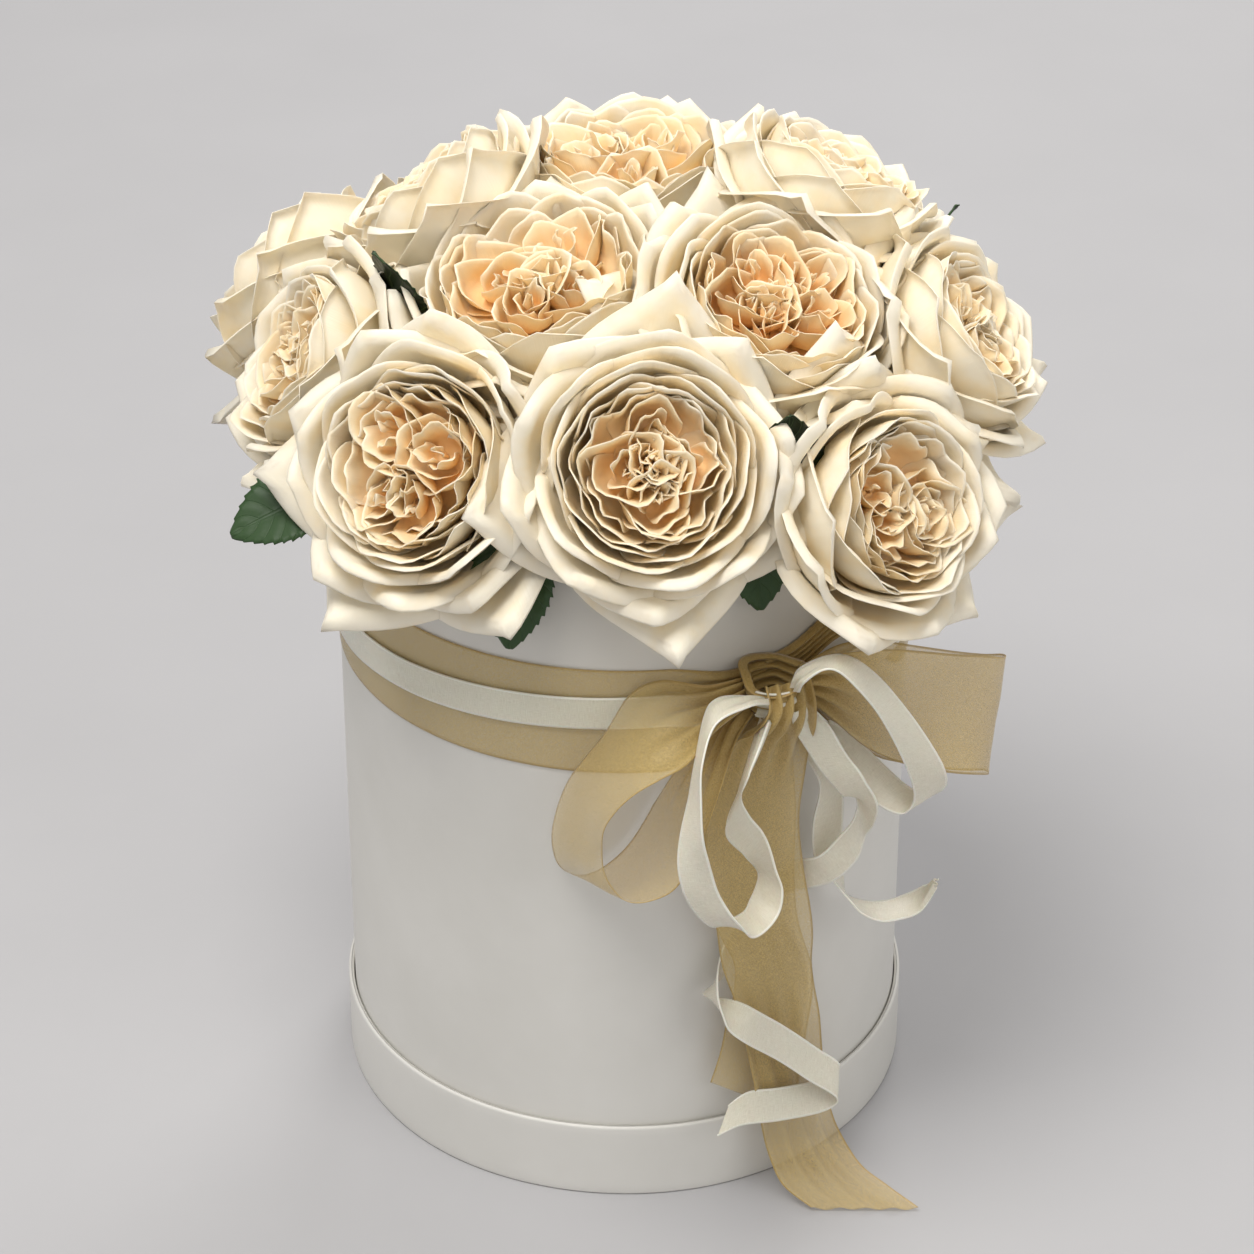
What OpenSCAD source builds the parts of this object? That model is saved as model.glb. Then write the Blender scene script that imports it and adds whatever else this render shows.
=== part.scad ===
// Round flower box: a paper-wrapped hat box that stands in its own upturned lid. Wet foam in a film
// liner fills it, cut garden roses stand in the foam, and two ribbons are tied round the wall in a bow.
// Millimetres. The origin is the centre of the lid's underside, +Z is up and the bow side faces -Y.

/* [Box] */
// Outside diameter of the box
box_d = 200; // [196:1:224]
// Height of the box wall
box_h = 250; // [236:1:290]
// Thickness of the paper-wrapped board of box and lid
board_t = 2; // [1.5:0.1:3]
// Rounding of the wrapped edge at the box's rim
rim_round = 0.7; // [0.2:0.1:0.7]

/* [Lid] */
// Height of the lid's rim
lid_h = 30; // [20:1:45]
// Play between the box and the lid, on the radius
lid_play = 0.4; // [0.3:0.05:1.5]

/* [Liner and foam] */
// Thickness of the waterproof film
film_t = 0.5; // [0.3:0.1:1]
// Play between wall, film and foam, on the radius
liner_play = 0.3; // [0.2:0.05:1]
// Depth of the film's trimmed edge below the box's rim
film_drop = 12; // [8:1:20]
// Depth of the foam's top below the box's rim
foam_drop = 30; // [28:1:40]
// Chamfer of the foam's top edge
foam_chamfer = 8; // [3:1:12]

/* [Blooms] */
// Height of a bloom from its hip to the heart's rim
bloom_h = 41; // [39:0.5:43]
// Petals of one bloom, in one spiral
petals = 15; // [10:1:16]
// Thickness of a petal
petal_t = 1; // [0.6:0.1:1.1]
// Radius of the heart that carries the petals
heart_r = 6; // [5:0.5:7]
// Radius of the rolled edge of an outer petal
roll_r = 3; // [2:0.5:3.5]
// Outer petals that roll back
rolled = 5; // [3:1:6]
// Radius of the edge of a guard petal
guard_roll = 11; // [6:1:13]

/* [Stems] */
// Diameter of a stem
stem_d = 6; // [5:0.5:7]
// Radius of the bend in a stem's neck
neck_r = 30; // [24:1:32]
// Lean of a stem in the foam, from upright
foam_lean = 10; // [6:1:12]
// Depth of a stem in the foam
stem_depth = 70; // [50:1:90]
// Radius of the hip under the bloom
hip_r = 6.5; // [5:0.5:7]
// Length of the hip
hip_h = 11; // [8:1:13]
// Length of a sepal
sepal_l = 18; // [12:1:20]
// Play of a stem in its hole in the foam
stem_play = 0.1; // [0.05:0.05:0.3]

/* [Leaves] */
// Length of a leaf blade
leaf_l = 42; // [34:1:46]
// Width of a leaf blade
leaf_w = 26; // [18:1:28]
// Thickness of a leaf blade
leaf_t = 0.7; // [0.5:0.1:1]
// Angle of each half of a blade above the midrib's plane
leaf_fold = 14; // [8:1:20]
// Teeth along each side of a blade
leaf_teeth = 9; // [6:1:12]
// Diameter of a leaf stalk
stalk_d = 1.8; // [1.4:0.1:2.2]
// Diameter of the midrib under a leaf blade
midrib_d = 1.3; // [0.8:0.1:1.5]
// Depth of a leaf stalk in the foam
stalk_depth = 12; // [8:1:20]
// Play of a leaf stalk in its hole in the foam
stalk_play = 0.3; // [0.2:0.05:0.5]

/* [Ribbons] */
// Width of the organza ribbon
organza_w = 40; // [36:1:42]
// Thickness of the organza ribbon
organza_t = 0.4; // [0.3:0.1:0.6]
// Width of the satin ribbon
satin_w = 12; // [10:0.5:13]
// Thickness of the satin ribbon
satin_t = 0.5; // [0.3:0.1:0.7]
// Depth of the organza band's middle below the box's rim
band_drop = 54; // [48:1:64]
// Depth of the satin band's middle below the box's rim
satin_drop = 57; // [50:1:64]
// Height that the satin band gains from the back to the knot, on each side of its middle
satin_rise = 8; // [4:1:10]
// Play between the wall and each band
band_play = 0.3; // [0.2:0.05:0.5]
// Direction of the bow, from the front towards +X
bow_az = 27; // [20:1:34]
// Depth of the knots below the box's rim
knot_drop = 41; // [38:1:46]
// Radius of the organza knot
knot_r = 9; // [7:0.5:10]
// Height of the organza knot
knot_h = 16; // [12:1:18]

/* [Hidden] */
$fn = 48;
box_r = box_d / 2;
rim_z = board_t + box_h;
foam_top = rim_z - foam_drop;
floor_z = 2 * board_t;
film_r = box_r - board_t - liner_play;
foam_r = film_r - film_t - liner_play;
stem_r = stem_d / 2;
knot_z = rim_z - knot_drop;
band_r = box_r + band_play + organza_t;
satin_tilt = atan(satin_rise / box_r);
satin_band_r = (band_r + band_play + satin_w / 2 * sin(satin_tilt)) / cos(satin_tilt);
golden_turn = 137.5;
rim_fall = 2;
guard_wide = 66;
sepal_droop = 55;
neck_share = 0.85;
knot_x = -2;
knot_y = satin_band_r - box_r + satin_t + band_play + knot_r;
tie_r = knot_r + band_play;
tails_z = 211;
hole_over = 1.2;
seam_turn = 90;

// Edge of a petal seen from outside, as shares of its half width, with the tip at the origin
PETAL_EDGE = [[-1, -3], [-1, -0.6], [-0.45, -0.14], [0, 0], [0.45, -0.14], [1, -0.6], [1, -3]];

// Rose rows: name, direction of the hip from the front towards +X, its distance in from the wall's
// outside, its height above the rim, lean of the bloom, direction it leans to, width, turn about its
// own axis, and the directions of its guard petals about that axis (0 is its low, outward side).
ROSES = [
  ["front",          5,  17, 30, 58,    5, 80,   0, [-75, 5, 78]],
  ["front_left",   -40,  15, 20, 60,  -29, 82,  40, [-60, 30]],
  ["front_right",   43,   0, 11, 64,   44, 78, 100, [-30, 50]],
  ["left",         -81,  18, 22, 60,  -78, 78, 160, [-40, 40]],
  ["right",         78,   8, 33, 54,   78, 75, 220, [-35, 40]],
  ["centre_left",  -42,  67, 43, 16,  -37, 85, 280, []],
  ["centre_right",  48,  44, 45, 27,   37, 78, 330, []],
  ["top",          178,  50, 46,  1,  182, 78,  20, []],
  ["top_right",    107,  40, 58, 28,  111, 76,  80, []],
  ["top_left",    -116,  43, 48, 41, -114, 76, 130, []],
  ["back_right",   118,   9, 16, 66,  113, 78, 190, [-35, 35]],
  ["rear_right",   158,  16, 23, 62,  158, 78, 250, [-40, 30]],
  ["rear_left",   -154,  18, 23, 61,  206, 78, 300, [-30, 40]],
  ["back_left",   -116,  -3, 16, 67,  232, 75, 350, [-35, 35]]
];

// Leaf rows: name, then the foot of the blade and its seat in the foam, each as a direction from the
// front, a distance in from the wall's outside and (foot only) a height above the rim; then the
// direction the blade points to, its rise, and its roll about the midrib.
LEAVES = [
  ["high_left",       -71, 26, 45,  -60, 60,  -54,  77,   8],
  ["high_front",       28,  7, 15,   45, 21,   20,  94, -16],
  ["low_left",        -61, -9, 11,  -47, 57,  -53, -39,  36],
  ["high_right",      100, -8, 53,  123, 34,   94,  80, -18],
  ["low_front",       -15,  1,  7,    9, 29,  -18, -62,  -2],
  ["low_front_right",  23, -1,  7,    6, 42,   23, -62,   4],
  ["low_right",        84, -3,  6,   86, 61,   89, -36, -19],
  ["low_rear",       -175, -2,  7, -184, 43,  184, -49,  -3],
  ["low_back_left",  -134, -3,  8, -130, 55, -124, -44, -28]
];

function bloom_node(row) = str("rose_", row[0], "_bloom");
function stem_node(row) = str("rose_", row[0], "_stem");
function leaf_node(row) = str("leaf_", row[0]);

// The whole of a row's stem lies in the upright plane of its lean, and starts at the hip's top
function hip_r_of(row) = box_r - row[2];
function hip_z_of(row) = rim_z + row[3];
function stem_lean(row) = min(row[4], foam_lean);
function neck_bend(row) = row[4] - stem_lean(row);
function neck_foot_z(row) = hip_z_of(row) - hip_h * cos(row[4])
  - neck_r * (sin(row[4]) - sin(stem_lean(row)));
function stem_run(row) = (neck_foot_z(row) - foam_top + stem_depth) / cos(stem_lean(row));

// Point at a direction from the front, a distance from the box's axis and a height
function polar(az, r, z) = [r * sin(az), -r * cos(az), z];
function unit(v) = v / norm(v);

module board_white() { color([0.96, 0.95, 0.93]) children(); }

// ---- Lid, upturned under the box ----
module lid_rim() {
  board_white() difference() {
    cylinder(h = lid_h, r = box_r + lid_play + board_t, $fn = 120);
    translate([0, 0, -1]) cylinder(h = lid_h + 2, r = box_r + lid_play, $fn = 120);
  }
}

module lid_panel() {
  board_white() cylinder(h = board_t, r = box_r + lid_play, $fn = 120);
}

// ---- Box: a tube of board with its wrapped rim, and a disc set flush inside its foot ----
function rim_corner(r, turn) = [for (i = [0:4])
  [r + rim_round * cos(turn + i * 22.5), box_h - rim_round + rim_round * sin(turn + i * 22.5)]];

module box_wall() {
  board_white() translate([0, 0, board_t]) rotate_extrude($fn = 120)
    polygon(concat(
      [[box_r - board_t, 0], [box_r, 0]],
      rim_corner(box_r - rim_round, 0),
      rim_corner(box_r - board_t + rim_round, 90)));
}

module box_base() {
  board_white() translate([0, 0, board_t]) cylinder(h = board_t, r = box_r - board_t, $fn = 120);
}

// ---- Liner and foam ----
module film_liner() {
  color([0.85, 0.9, 0.88, 0.5]) translate([0, 0, floor_z]) difference() {
    cylinder(h = rim_z - film_drop - floor_z, r = film_r, $fn = 120);
    translate([0, 0, film_t]) cylinder(h = box_h, r = film_r - film_t, $fn = 120);
  }
}

module foam_block() {
  foot = floor_z + film_t;
  color([0.13, 0.35, 0.2]) difference() {
    translate([0, 0, foot]) rotate_extrude($fn = 120)
      polygon([[0, 0], [foam_r, 0], [foam_r, foam_top - foot - foam_chamfer],
        [foam_r - foam_chamfer, foam_top - foot], [0, foam_top - foot]]);
    for (row = ROSES) stand(row) stem_straight(row, stem_r + stem_play, stem_d);
    for (row = LEAVES) leaf_hole(row);
  }
}

// ---- Roses ----
// Puts a bloom's own axis, +Z, with its foot on the hip, in its place in the box
module stand(row) {
  translate(polar(row[1], hip_r_of(row), hip_z_of(row)))
    rotate([0, 0, row[5] - 90]) rotate([0, row[4], 0]) children();
}

// Section of a petal: a quarter of an oval from the heart to the belly, then the rolled edge
function petal_section(belly, foot, rim, roll, turn) =
  let (n = 4, m = 2, t = petal_t, root = heart_r - 1)
  concat(
    [for (i = [0:n]) let (a = 90 * i / n)
      [root + (belly - root) * sin(a), foot + (rim - foot) * (1 - cos(a))]],
    [for (i = [1:m]) let (b = turn * i / m)
      [belly + roll * (1 - cos(b)), rim + roll * sin(b)]],
    [for (i = [m:-1:1]) let (b = turn * i / m)
      [belly + roll - (roll + t) * cos(b), rim + (roll + t) * sin(b)]],
    [for (i = [n:-1:0]) let (a = 90 * i / n)
      [root + (belly - t - root) * sin(a), foot + t + (rim - foot - t) * (1 - cos(a))]]);

// One petal: a slice of that bowl, with its edge cut down from a pointed tip on both sides
module petal(belly, foot, rim, roll, turn, wide) {
  top = rim + (roll + petal_t) * sin(turn);
  half = (belly + roll) * sin(wide / 2);
  intersection() {
    rotate_extrude(angle = wide, start = -wide / 2)
      polygon(petal_section(belly, foot, rim, roll, turn));
    translate([0, 0, top]) rotate([90, 0, 90]) linear_extrude(belly + 2 * roll + petal_t)
      polygon(half * PETAL_EDGE);
  }
}

// A heart with its petals in a spiral at the golden angle, each a step outside and below the last;
// the outer ones roll back, and guard petals hang where the bloom has room below it
module bloom(row) {
  belly = row[6] / 2 - roll_r / 2;
  step = (belly - heart_r - 2) / petals;
  drop = (bloom_h / 2 - petal_t) / petals;
  first = bloom_h / 2 + petal_t;
  color([0.98, 0.94, 0.84]) stand(row) {
    rotate([0, 0, row[7]]) {
      rotate_extrude() polygon([[0, 0], [heart_r, 0], [heart_r, first],
        [heart_r / 2, bloom_h - heart_r], [0, bloom_h - heart_r / 2]]);
      for (k = [1:petals]) rotate([0, 0, k * golden_turn]) {
        out = max(0, k - petals + rolled);
        petal(heart_r + 2 + step * k, first - drop * k, bloom_h - roll_r - rim_fall * out,
          out > 0 ? roll_r : 0.4, out > 0 ? 70 : 20, 125 - 2 * k);
      }
    }
    for (a = row[8]) rotate([0, 0, a])
      petal(belly + petal_t + 0.9, 0.2, bloom_h * 0.55, guard_roll, 78, guard_wide);
  }
}

// The part of the neck and stem that lies straight in the foam, a little longer than its hole asks
module stem_straight(row, r, over) {
  bend = neck_bend(row);
  translate([neck_r * (1 - cos(bend)), 0, -hip_h - neck_r * sin(bend)])
    rotate([0, -bend, 0]) translate([0, 0, -stem_run(row)]) cylinder(h = stem_run(row) + over, r = r);
}

module sepal() {
  translate([heart_r - 2, 0, -1.2]) rotate([0, sepal_droop, 0])
    linear_extrude(0.8) polygon([[0, -2.4], [sepal_l * 0.3, -2.8], [sepal_l, 0],
      [sepal_l * 0.3, 2.8], [0, 2.4]]);
}

// Hip with its reflexed sepals, the neck's bend, and the stem down into the foam
module stem(row) {
  bend = neck_bend(row);
  color([0.3, 0.42, 0.2]) stand(row) {
    rotate_extrude() polygon([[0, 0], [hip_r - 1, 0], [hip_r, -hip_h * 0.3],
      [hip_r * 0.85, -hip_h * 0.65], [stem_r, -hip_h], [0, -hip_h]]);
    for (k = [0:4]) rotate([0, 0, 36 + 72 * k]) sepal();
    if (bend > 0) translate([neck_r, 0, -hip_h]) rotate([90, 0, 0])
      rotate_extrude(angle = bend, start = 180) translate([neck_r, 0]) circle(r = stem_r * neck_share);
    stem_straight(row, stem_r, 0);
  }
}

// ---- Leaves ----
function leaf_foot(row) = polar(row[1], box_r - row[2], rim_z + row[3]);
function leaf_seat(row) = polar(row[4], box_r - row[5], foam_top - stalk_depth);

function leaf_run(row) = leaf_foot(row) - leaf_seat(row);

// Puts a cylinder's axis, +Z, on a leaf's stalk, with its foot in the foam
module at_seat(row) {
  run = leaf_run(row);
  translate(leaf_seat(row)) rotate([0, acos(run[2] / norm(run)), atan2(run[1], run[0])]) children();
}

module leaf_stalk(row) {
  at_seat(row) cylinder(h = norm(leaf_run(row)), r = stalk_d / 2, $fn = 20);
}

// Hole for that stalk, a little longer than the part of it that is in the foam
module leaf_hole(row) {
  run = leaf_run(row);
  at_seat(row) rotate([0, 0, seam_turn])
    cylinder(h = hole_over * stalk_depth * norm(run) / run[2], r = stalk_d / 2 + stalk_play, $fn = 20);
}

// Half of a toothed blade, from the midrib out
function blade_edge(n) = [for (i = [0:n - 1], tooth = [0, 1])
  let (u = (i + 0.85 * tooth) / n, side = leaf_w / 2 * pow(sin(180 * pow(u, 0.85)), 0.8))
  [leaf_l * u, side + tooth * leaf_l / n * 0.28]];

module half_blade() {
  linear_extrude(leaf_t) polygon(concat([[0, 0]], [for (i = [1:2 * leaf_teeth - 1])
    blade_edge(leaf_teeth)[i]], [[leaf_l, 0]]));
}

module leaf(row) {
  color([0.12, 0.27, 0.1]) {
    leaf_stalk(row);
    translate(leaf_foot(row)) rotate([0, 0, row[6] - 90]) rotate([0, -row[7], 0])
      rotate([row[8], 0, 0]) {
        rotate([leaf_fold, 0, 0]) half_blade();
        mirror([0, 1, 0]) rotate([leaf_fold, 0, 0]) half_blade();
        rotate([0, 90, 0]) cylinder(h = leaf_l, r = midrib_d / 2, $fn = 20);
      }
  }
}

// ---- Ribbons ----
module organza_band() {
  color([0.76, 0.66, 0.42]) translate([0, 0, rim_z - band_drop - organza_w / 2]) difference() {
    cylinder(h = organza_w, r = band_r, $fn = 120);
    translate([0, 0, -1]) cylinder(h = organza_w + 2, r = band_r - organza_t, $fn = 120);
  }
}

// The satin band climbs to the knot, so its ring lies aslant
module satin_band() {
  color([0.93, 0.91, 0.85]) translate([0, 0, rim_z - satin_drop]) rotate([0, 0, bow_az])
    rotate([-satin_tilt, 0, 0]) translate([0, 0, -satin_w / 2]) difference() {
      cylinder(h = satin_w, r = satin_band_r + satin_t, $fn = 120);
      translate([0, 0, -1]) cylinder(h = satin_w + 2, r = satin_band_r, $fn = 120);
    }
}

// The bow's own frame: x along the wall to the right, y out from the wall, z up from the table
module at_bow() {
  rotate([0, 0, bow_az]) translate([0, -box_r, 0]) mirror([0, 1, 0]) children();
}

module organza_knot() {
  n = 4;
  at_bow() color([0.66, 0.55, 0.3]) translate([knot_x, knot_y, knot_z]) rotate_extrude()
    polygon(concat([[0, -knot_h / 2]], [for (i = [-n:n]) [knot_r - knot_r * 0.3 * pow(i / n, 2),
      knot_h / 2 * i / n]], [[0, knot_h / 2]]));
}

module satin_knot() {
  at_bow() color([0.95, 0.93, 0.88]) translate([knot_x, knot_y, knot_z])
    rotate_extrude(angle = 120, start = 30) translate([tie_r, -satin_w * 0.4])
      square([2 * satin_t, satin_w * 0.8]);
}

// A strip row is the ribbon's middle, the direction across it, and the share of its width that is
// spread there; round the knot the ribbon is gathered
function row_near(rows, i) = rows[max(0, min(len(rows) - 1, i))];
function row_between(rows, i, u) =
  let (a = row_near(rows, i - 1), b = rows[i], c = row_near(rows, i + 1), d = row_near(rows, i + 2))
  0.5 * (2 * b + (c - a) * u + (2 * a - 5 * b + 4 * c - d) * u * u + (3 * (b - c) + d - a) * u * u * u);
function smooth_rows(rows) = concat(
  [for (i = [0:len(rows) - 2], u = [0, 0.5]) row_between(rows, i, u)], [rows[len(rows) - 1]]);
function middle(row) = [row[0], row[1], row[2]];
function across(row) = unit([row[3], row[4], row[5]]);

function strip_ring(rows, i, width, t) =
  let (
    run = middle(row_near(rows, i + 1)) - middle(row_near(rows, i - 1)),
    half = across(rows[i]) * width * rows[i][6] / 2,
    skin = unit(cross(run, half)) * t / 2,
    m = middle(rows[i]))
  [m - half - skin, m + half - skin, m + half + skin, m - half + skin];

// A ribbon strip through its rows, with z from the knot's middle. Both sides of the cloth are split
// along the same diagonals, so that it keeps its thickness where it twists
module strip(rows, width, t) {
  fine = smooth_rows(rows);
  n = len(fine);
  at_bow() translate([0, 0, knot_z]) polyhedron(
    [for (i = [0:n - 1], p = strip_ring(fine, i, width, t)) p],
    concat([[0, 1, 2], [0, 2, 3]],
      [for (i = [0:n - 2], k = [0:3], half = [0, 1])
        let (a = 4 * i + k, b = 4 * i + (k + 1) % 4)
        k == 2 ? (half == 0 ? [a, a + 4, b + 4] : [a, b + 4, b])
          : (half == 0 ? [a, a + 4, b] : [b, a + 4, b + 4])],
      [[4 * n - 4, 4 * n - 2, 4 * n - 3], [4 * n - 4, 4 * n - 1, 4 * n - 2]]));
}

// Tail rows give a height above the table in place of z, for a knot at tails_z; a taller or lower
// knot stretches them, so that the tails still reach the table
function hung(rows) = [for (r = rows) [r[0], r[1], r[2] * knot_z / tails_z - knot_z, r[3], r[4], r[5], r[6]]];

module organza_color() { color([0.8, 0.7, 0.46]) children(); }
module satin_color() { color([0.93, 0.91, 0.85]) children(); }

module organza_loop_left() {
  organza_color() strip([
    [-11.5, 11,   1,  -1,  8,  -4, 0.25],
    [-27, 15,   1,  -6, 18,  -6, 0.5],
    [-40, 15,   0,  -7, 33, -11, 0.9],
    [-50, 12,  -5,  -9, 37,  -9, 1],
    [-58,  8, -16, -11, 39,   0, 1],
    [-65,  2, -31,  -6, 38,   7, 1],
    [-67, -2, -48,   0, 37,  12, 1],
    [-66, -1, -60,   1, 36,  15, 1],
    [-61,  3, -66,   0, 37,  13, 1],
    [-54,  8, -64,   0, 37,  11, 1],
    [-46, 12, -56,  -1, 38,   8, 1],
    [-39, 15, -39,  -2, 37,  10, 1],
    [-31, 17, -21,  -3, 29,   7, 0.75],
    [-20, 13, -10,  -2, 14,   4, 0.4],
    [-10.9, 10,  -5,   0,  8,   2, 0.2]
  ], organza_w, organza_t);
}

module organza_loop_right() {
  organza_color() strip([
    [7.6, 14,   2,   4, -3, -11, 0.3],
    [16, 20,   0,   0,  1, -24, 0.6],
    [26, 24,  -5,   0,  3, -36, 0.9],
    [38, 28,  -9,  -3,  8, -39, 1],
    [54, 30, -15,  -8, 12, -37, 1],
    [68, 28, -21, -12, 16, -34, 1],
    [78, 23, -27, -14, 16, -34, 1],
    [80, 18, -29, -15, 16, -34, 1],
    [74, 15, -29, -15, 16, -34, 1],
    [61, 15, -24, -13, 16, -35, 1],
    [40, 14, -15,  -8, 12, -36, 1],
    [25, 11,  -8,  -2,  6, -31, 0.8],
    [10,  8,  -2,   3, -5, -15, 0.35]
  ], organza_w, organza_t);
}

module organza_tail_front() {
  organza_color() strip(hung([
    [-4, 13, 202.5, 12,  0,   0, 0.3],
    [-6, 13, 193,   28, -1, -10, 0.75],
    [-9, 11, 169,   38, -2, -13, 1],
    [-7, 11, 143,   37, -1, -12, 1],
    [-3, 11, 118,   38,  0, -13, 1],
    [ 0,  9,  96,   37, -4, -14, 1],
    [ 5,  8,  75,   34, -4, -14, 0.95],
    [ 9,  8,  48,   32, -5, -15, 0.9],
    [13,  9,  25,   32, -3, -15, 0.9],
    [16, 17,  11,   31,  7,  -7, 0.85],
    [20, 26,   4,   34, 13,  -3, 0.95],
    [25, 38,   1,   33, 17,   0, 0.95]
  ]), organza_w, organza_t);
}

module organza_tail_back() {
  organza_color() strip(hung([
    [-4, 8, 202.5, 10,  0,   0, 0.25],
    [-5, 8, 190,   24,  0,  -8, 0.65],
    [-6, 7, 165,   34,  0, -12, 0.9],
    [-6, 7, 140,   36,  0, -12, 0.9],
    [-3, 6, 115,   36, -2, -13, 0.9],
    [ 5, 4,  93,   35, -6, -16, 0.95],
    [ 6, 3,  81,   35, -7, -17, 1],
    [ 4, 3,  68,   36, -6, -16, 1],
    [ 0, 5,  52,   34, -3, -20, 1],
    [-4, 6,  39,   32,  0, -24, 1]
  ]), organza_w, organza_t);
}

module satin_loop_left() {
  satin_color() strip([
    [-10, 21,   3,   0,  6,  2, 0.5],
    [-20, 26,   9,  -2, 10,  2, 0.9],
    [-34, 30,  10,  -4, 12,  0, 1],
    [-42, 36,  -2,  -3, 10,  5, 1],
    [-45, 39, -15,  -1, 11,  5, 1],
    [-47, 41, -28,   3, 11,  4, 1],
    [-46, 42, -41,   8,  9,  2, 1],
    [-43, 43, -52,   8,  8,  4, 1],
    [-36, 44, -63,   4,  9,  6, 1],
    [-24, 38, -71,  -1, 12, -2, 1],
    [-16, 34, -69,   4, 11, -2, 1],
    [-12, 31, -63,   3, 12,  0, 1],
    [-13, 29, -57,   2, 11,  5, 1],
    [-17, 28, -47,   5,  5, 10, 1],
    [-23, 28, -38,   6,  4,  9, 1],
    [-26, 31, -28,   2,  5, 10, 1],
    [-24, 33, -18,   0,  6,  9, 1],
    [-17, 29,  -8,  -2,  8,  5, 0.8],
    [-10, 22,  -4,   0,  6,  3, 0.5]
  ], satin_w, satin_t);
}

module satin_loop_right() {
  satin_color() strip([
    [-1, 24,   7,  -1,  8,  1, 0.5],
    [-1, 28,  14,  -3,  9,  1, 0.9],
    [ 4, 33,  20,  -6, 10,  2, 1],
    [10, 36,  20,  -8,  8,  1, 1],
    [18, 38,  12, -10,  7,  0, 1],
    [27, 39,  -1, -11,  4,  1, 1],
    [36, 39, -17, -12,  0,  0, 1],
    [43, 38, -32, -11, -4, -3, 1],
    [46, 34, -43, -11, -3, -5, 1],
    [43, 30, -48, -10,  2, -3, 1],
    [37, 26, -45, -10,  2, -4, 1],
    [29, 22, -36,  -9,  1, -6, 1],
    [21, 18, -26,  -8,  0, -7, 1],
    [13, 17, -17,  -6,  0, -5, 0.8]
  ], satin_w, satin_t);
}

module satin_tail_long() {
  satin_color() strip(hung([
    [  3, 21.4, 208,  9, -5,   0, 0.7],
    [  9, 22, 196,  12,  5,   1, 1],
    [ 14, 24, 186,  13,  7,   1, 1],
    [ 21, 27, 174,   6,  9,   8, 1],
    [ 27, 25, 163,   6,  4, -10, 1],
    [ 28, 20, 152,   6, -2, -10, 1],
    [ 25, 17, 142,   7,  2, -10, 1],
    [ 19, 13.5, 134, 5,  2, -10, 1],
    [ 12,  5, 128,   0,  1, -11, 1],
    [  7,  3, 124,  -2,  0, -11, 1],
    [ -2,  3, 118,  -2,  0, -11, 1],
    [ -9,  3, 110,  -1,  0, -10, 1],
    [-15,  4,  98,   3, -3, -10, 1],
    [-22, 9.5, 90,   0, -9,  -3, 1],
    [-13, 17.5, 82,  7, -5,   7, 1],
    [  1, 18,  69,   6, -5,  11, 1],
    [ 14, 17,  55,   6, -6,  11, 1],
    [ 25, 17,  43,   4, -6,  10, 1],
    [ 19, 14,  37,   0, -4,   9, 1],
    [  3, 14,  39,   2, -4,  10, 1],
    [-10, 13,  41,   4, -4,   8, 1],
    [-18, 12,  38,   5, -3,   7, 1]
  ]), satin_w, satin_t);
}

module satin_tail_curl() {
  satin_color() strip(hung([
    [5.5, 14.2, 205, -3,  8,   0, 0.5],
    [ 12, 12, 189,  4,  4,   4, 0.9],
    [ 20, 13, 173,  5,  2,   7, 1],
    [ 22,  9, 152,  8,  3,   5, 1],
    [ 23,  8, 139,  8,  0,   3, 1],
    [ 27,  9, 124,  7, -6,  -5, 1],
    [ 30, 11, 117,  4, -11, -4, 1],
    [ 33, 14, 114,  4, -11, -2, 1],
    [ 40, 16, 111,  5, -11,  0, 1],
    [ 48, 16, 110,  5, -11,  1, 1],
    [ 56, 16, 111,  7, -9,   4, 1],
    [ 61, 17, 117,  5, -5,   5, 0.3]
  ]), satin_w, satin_t);
}

lid_rim();
lid_panel();
box_wall();
box_base();
film_liner();
foam_block();
for (row = ROSES) {
  bloom(row);
  stem(row);
}
for (row = LEAVES)
  leaf(row);
organza_band();
organza_knot();
organza_loop_left();
organza_loop_right();
organza_tail_front();
organza_tail_back();
satin_band();
satin_knot();
satin_loop_left();
satin_loop_right();
satin_tail_long();
satin_tail_curl();
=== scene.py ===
# Round flower box: cut garden roses in a paper-wrapped hat box that stands in its own lid, tied with a
# wide organza ribbon and a narrow satin one. Metres, +Z up, the bow to the front right of -Y.
import bpy
import numpy as np
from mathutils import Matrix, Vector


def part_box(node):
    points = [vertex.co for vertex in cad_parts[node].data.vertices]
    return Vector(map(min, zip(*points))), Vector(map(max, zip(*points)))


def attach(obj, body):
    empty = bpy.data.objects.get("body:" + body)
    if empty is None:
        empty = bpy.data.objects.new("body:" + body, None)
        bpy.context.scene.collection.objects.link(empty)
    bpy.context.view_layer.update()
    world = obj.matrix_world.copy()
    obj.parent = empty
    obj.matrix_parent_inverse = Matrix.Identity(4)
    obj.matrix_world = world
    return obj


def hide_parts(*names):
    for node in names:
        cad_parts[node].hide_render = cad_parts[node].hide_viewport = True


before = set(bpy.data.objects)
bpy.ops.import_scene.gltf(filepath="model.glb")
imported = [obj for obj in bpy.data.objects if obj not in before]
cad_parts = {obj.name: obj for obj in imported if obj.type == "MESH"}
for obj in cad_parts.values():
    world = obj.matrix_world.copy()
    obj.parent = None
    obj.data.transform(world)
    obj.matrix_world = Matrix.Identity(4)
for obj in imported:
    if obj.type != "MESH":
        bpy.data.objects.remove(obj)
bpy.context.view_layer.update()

# ---- Table, light and camera ----
# A plain pale table under soft studio light: a large lamp high on the front left, a weaker one on the
# right, one behind, and an even room. None of it is part of the flower box.
TABLE_SIZE = 8.0
TABLE_COLOR = (0.47, 0.465, 0.475, 1)
TABLE_SHADE = 0.93
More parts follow.
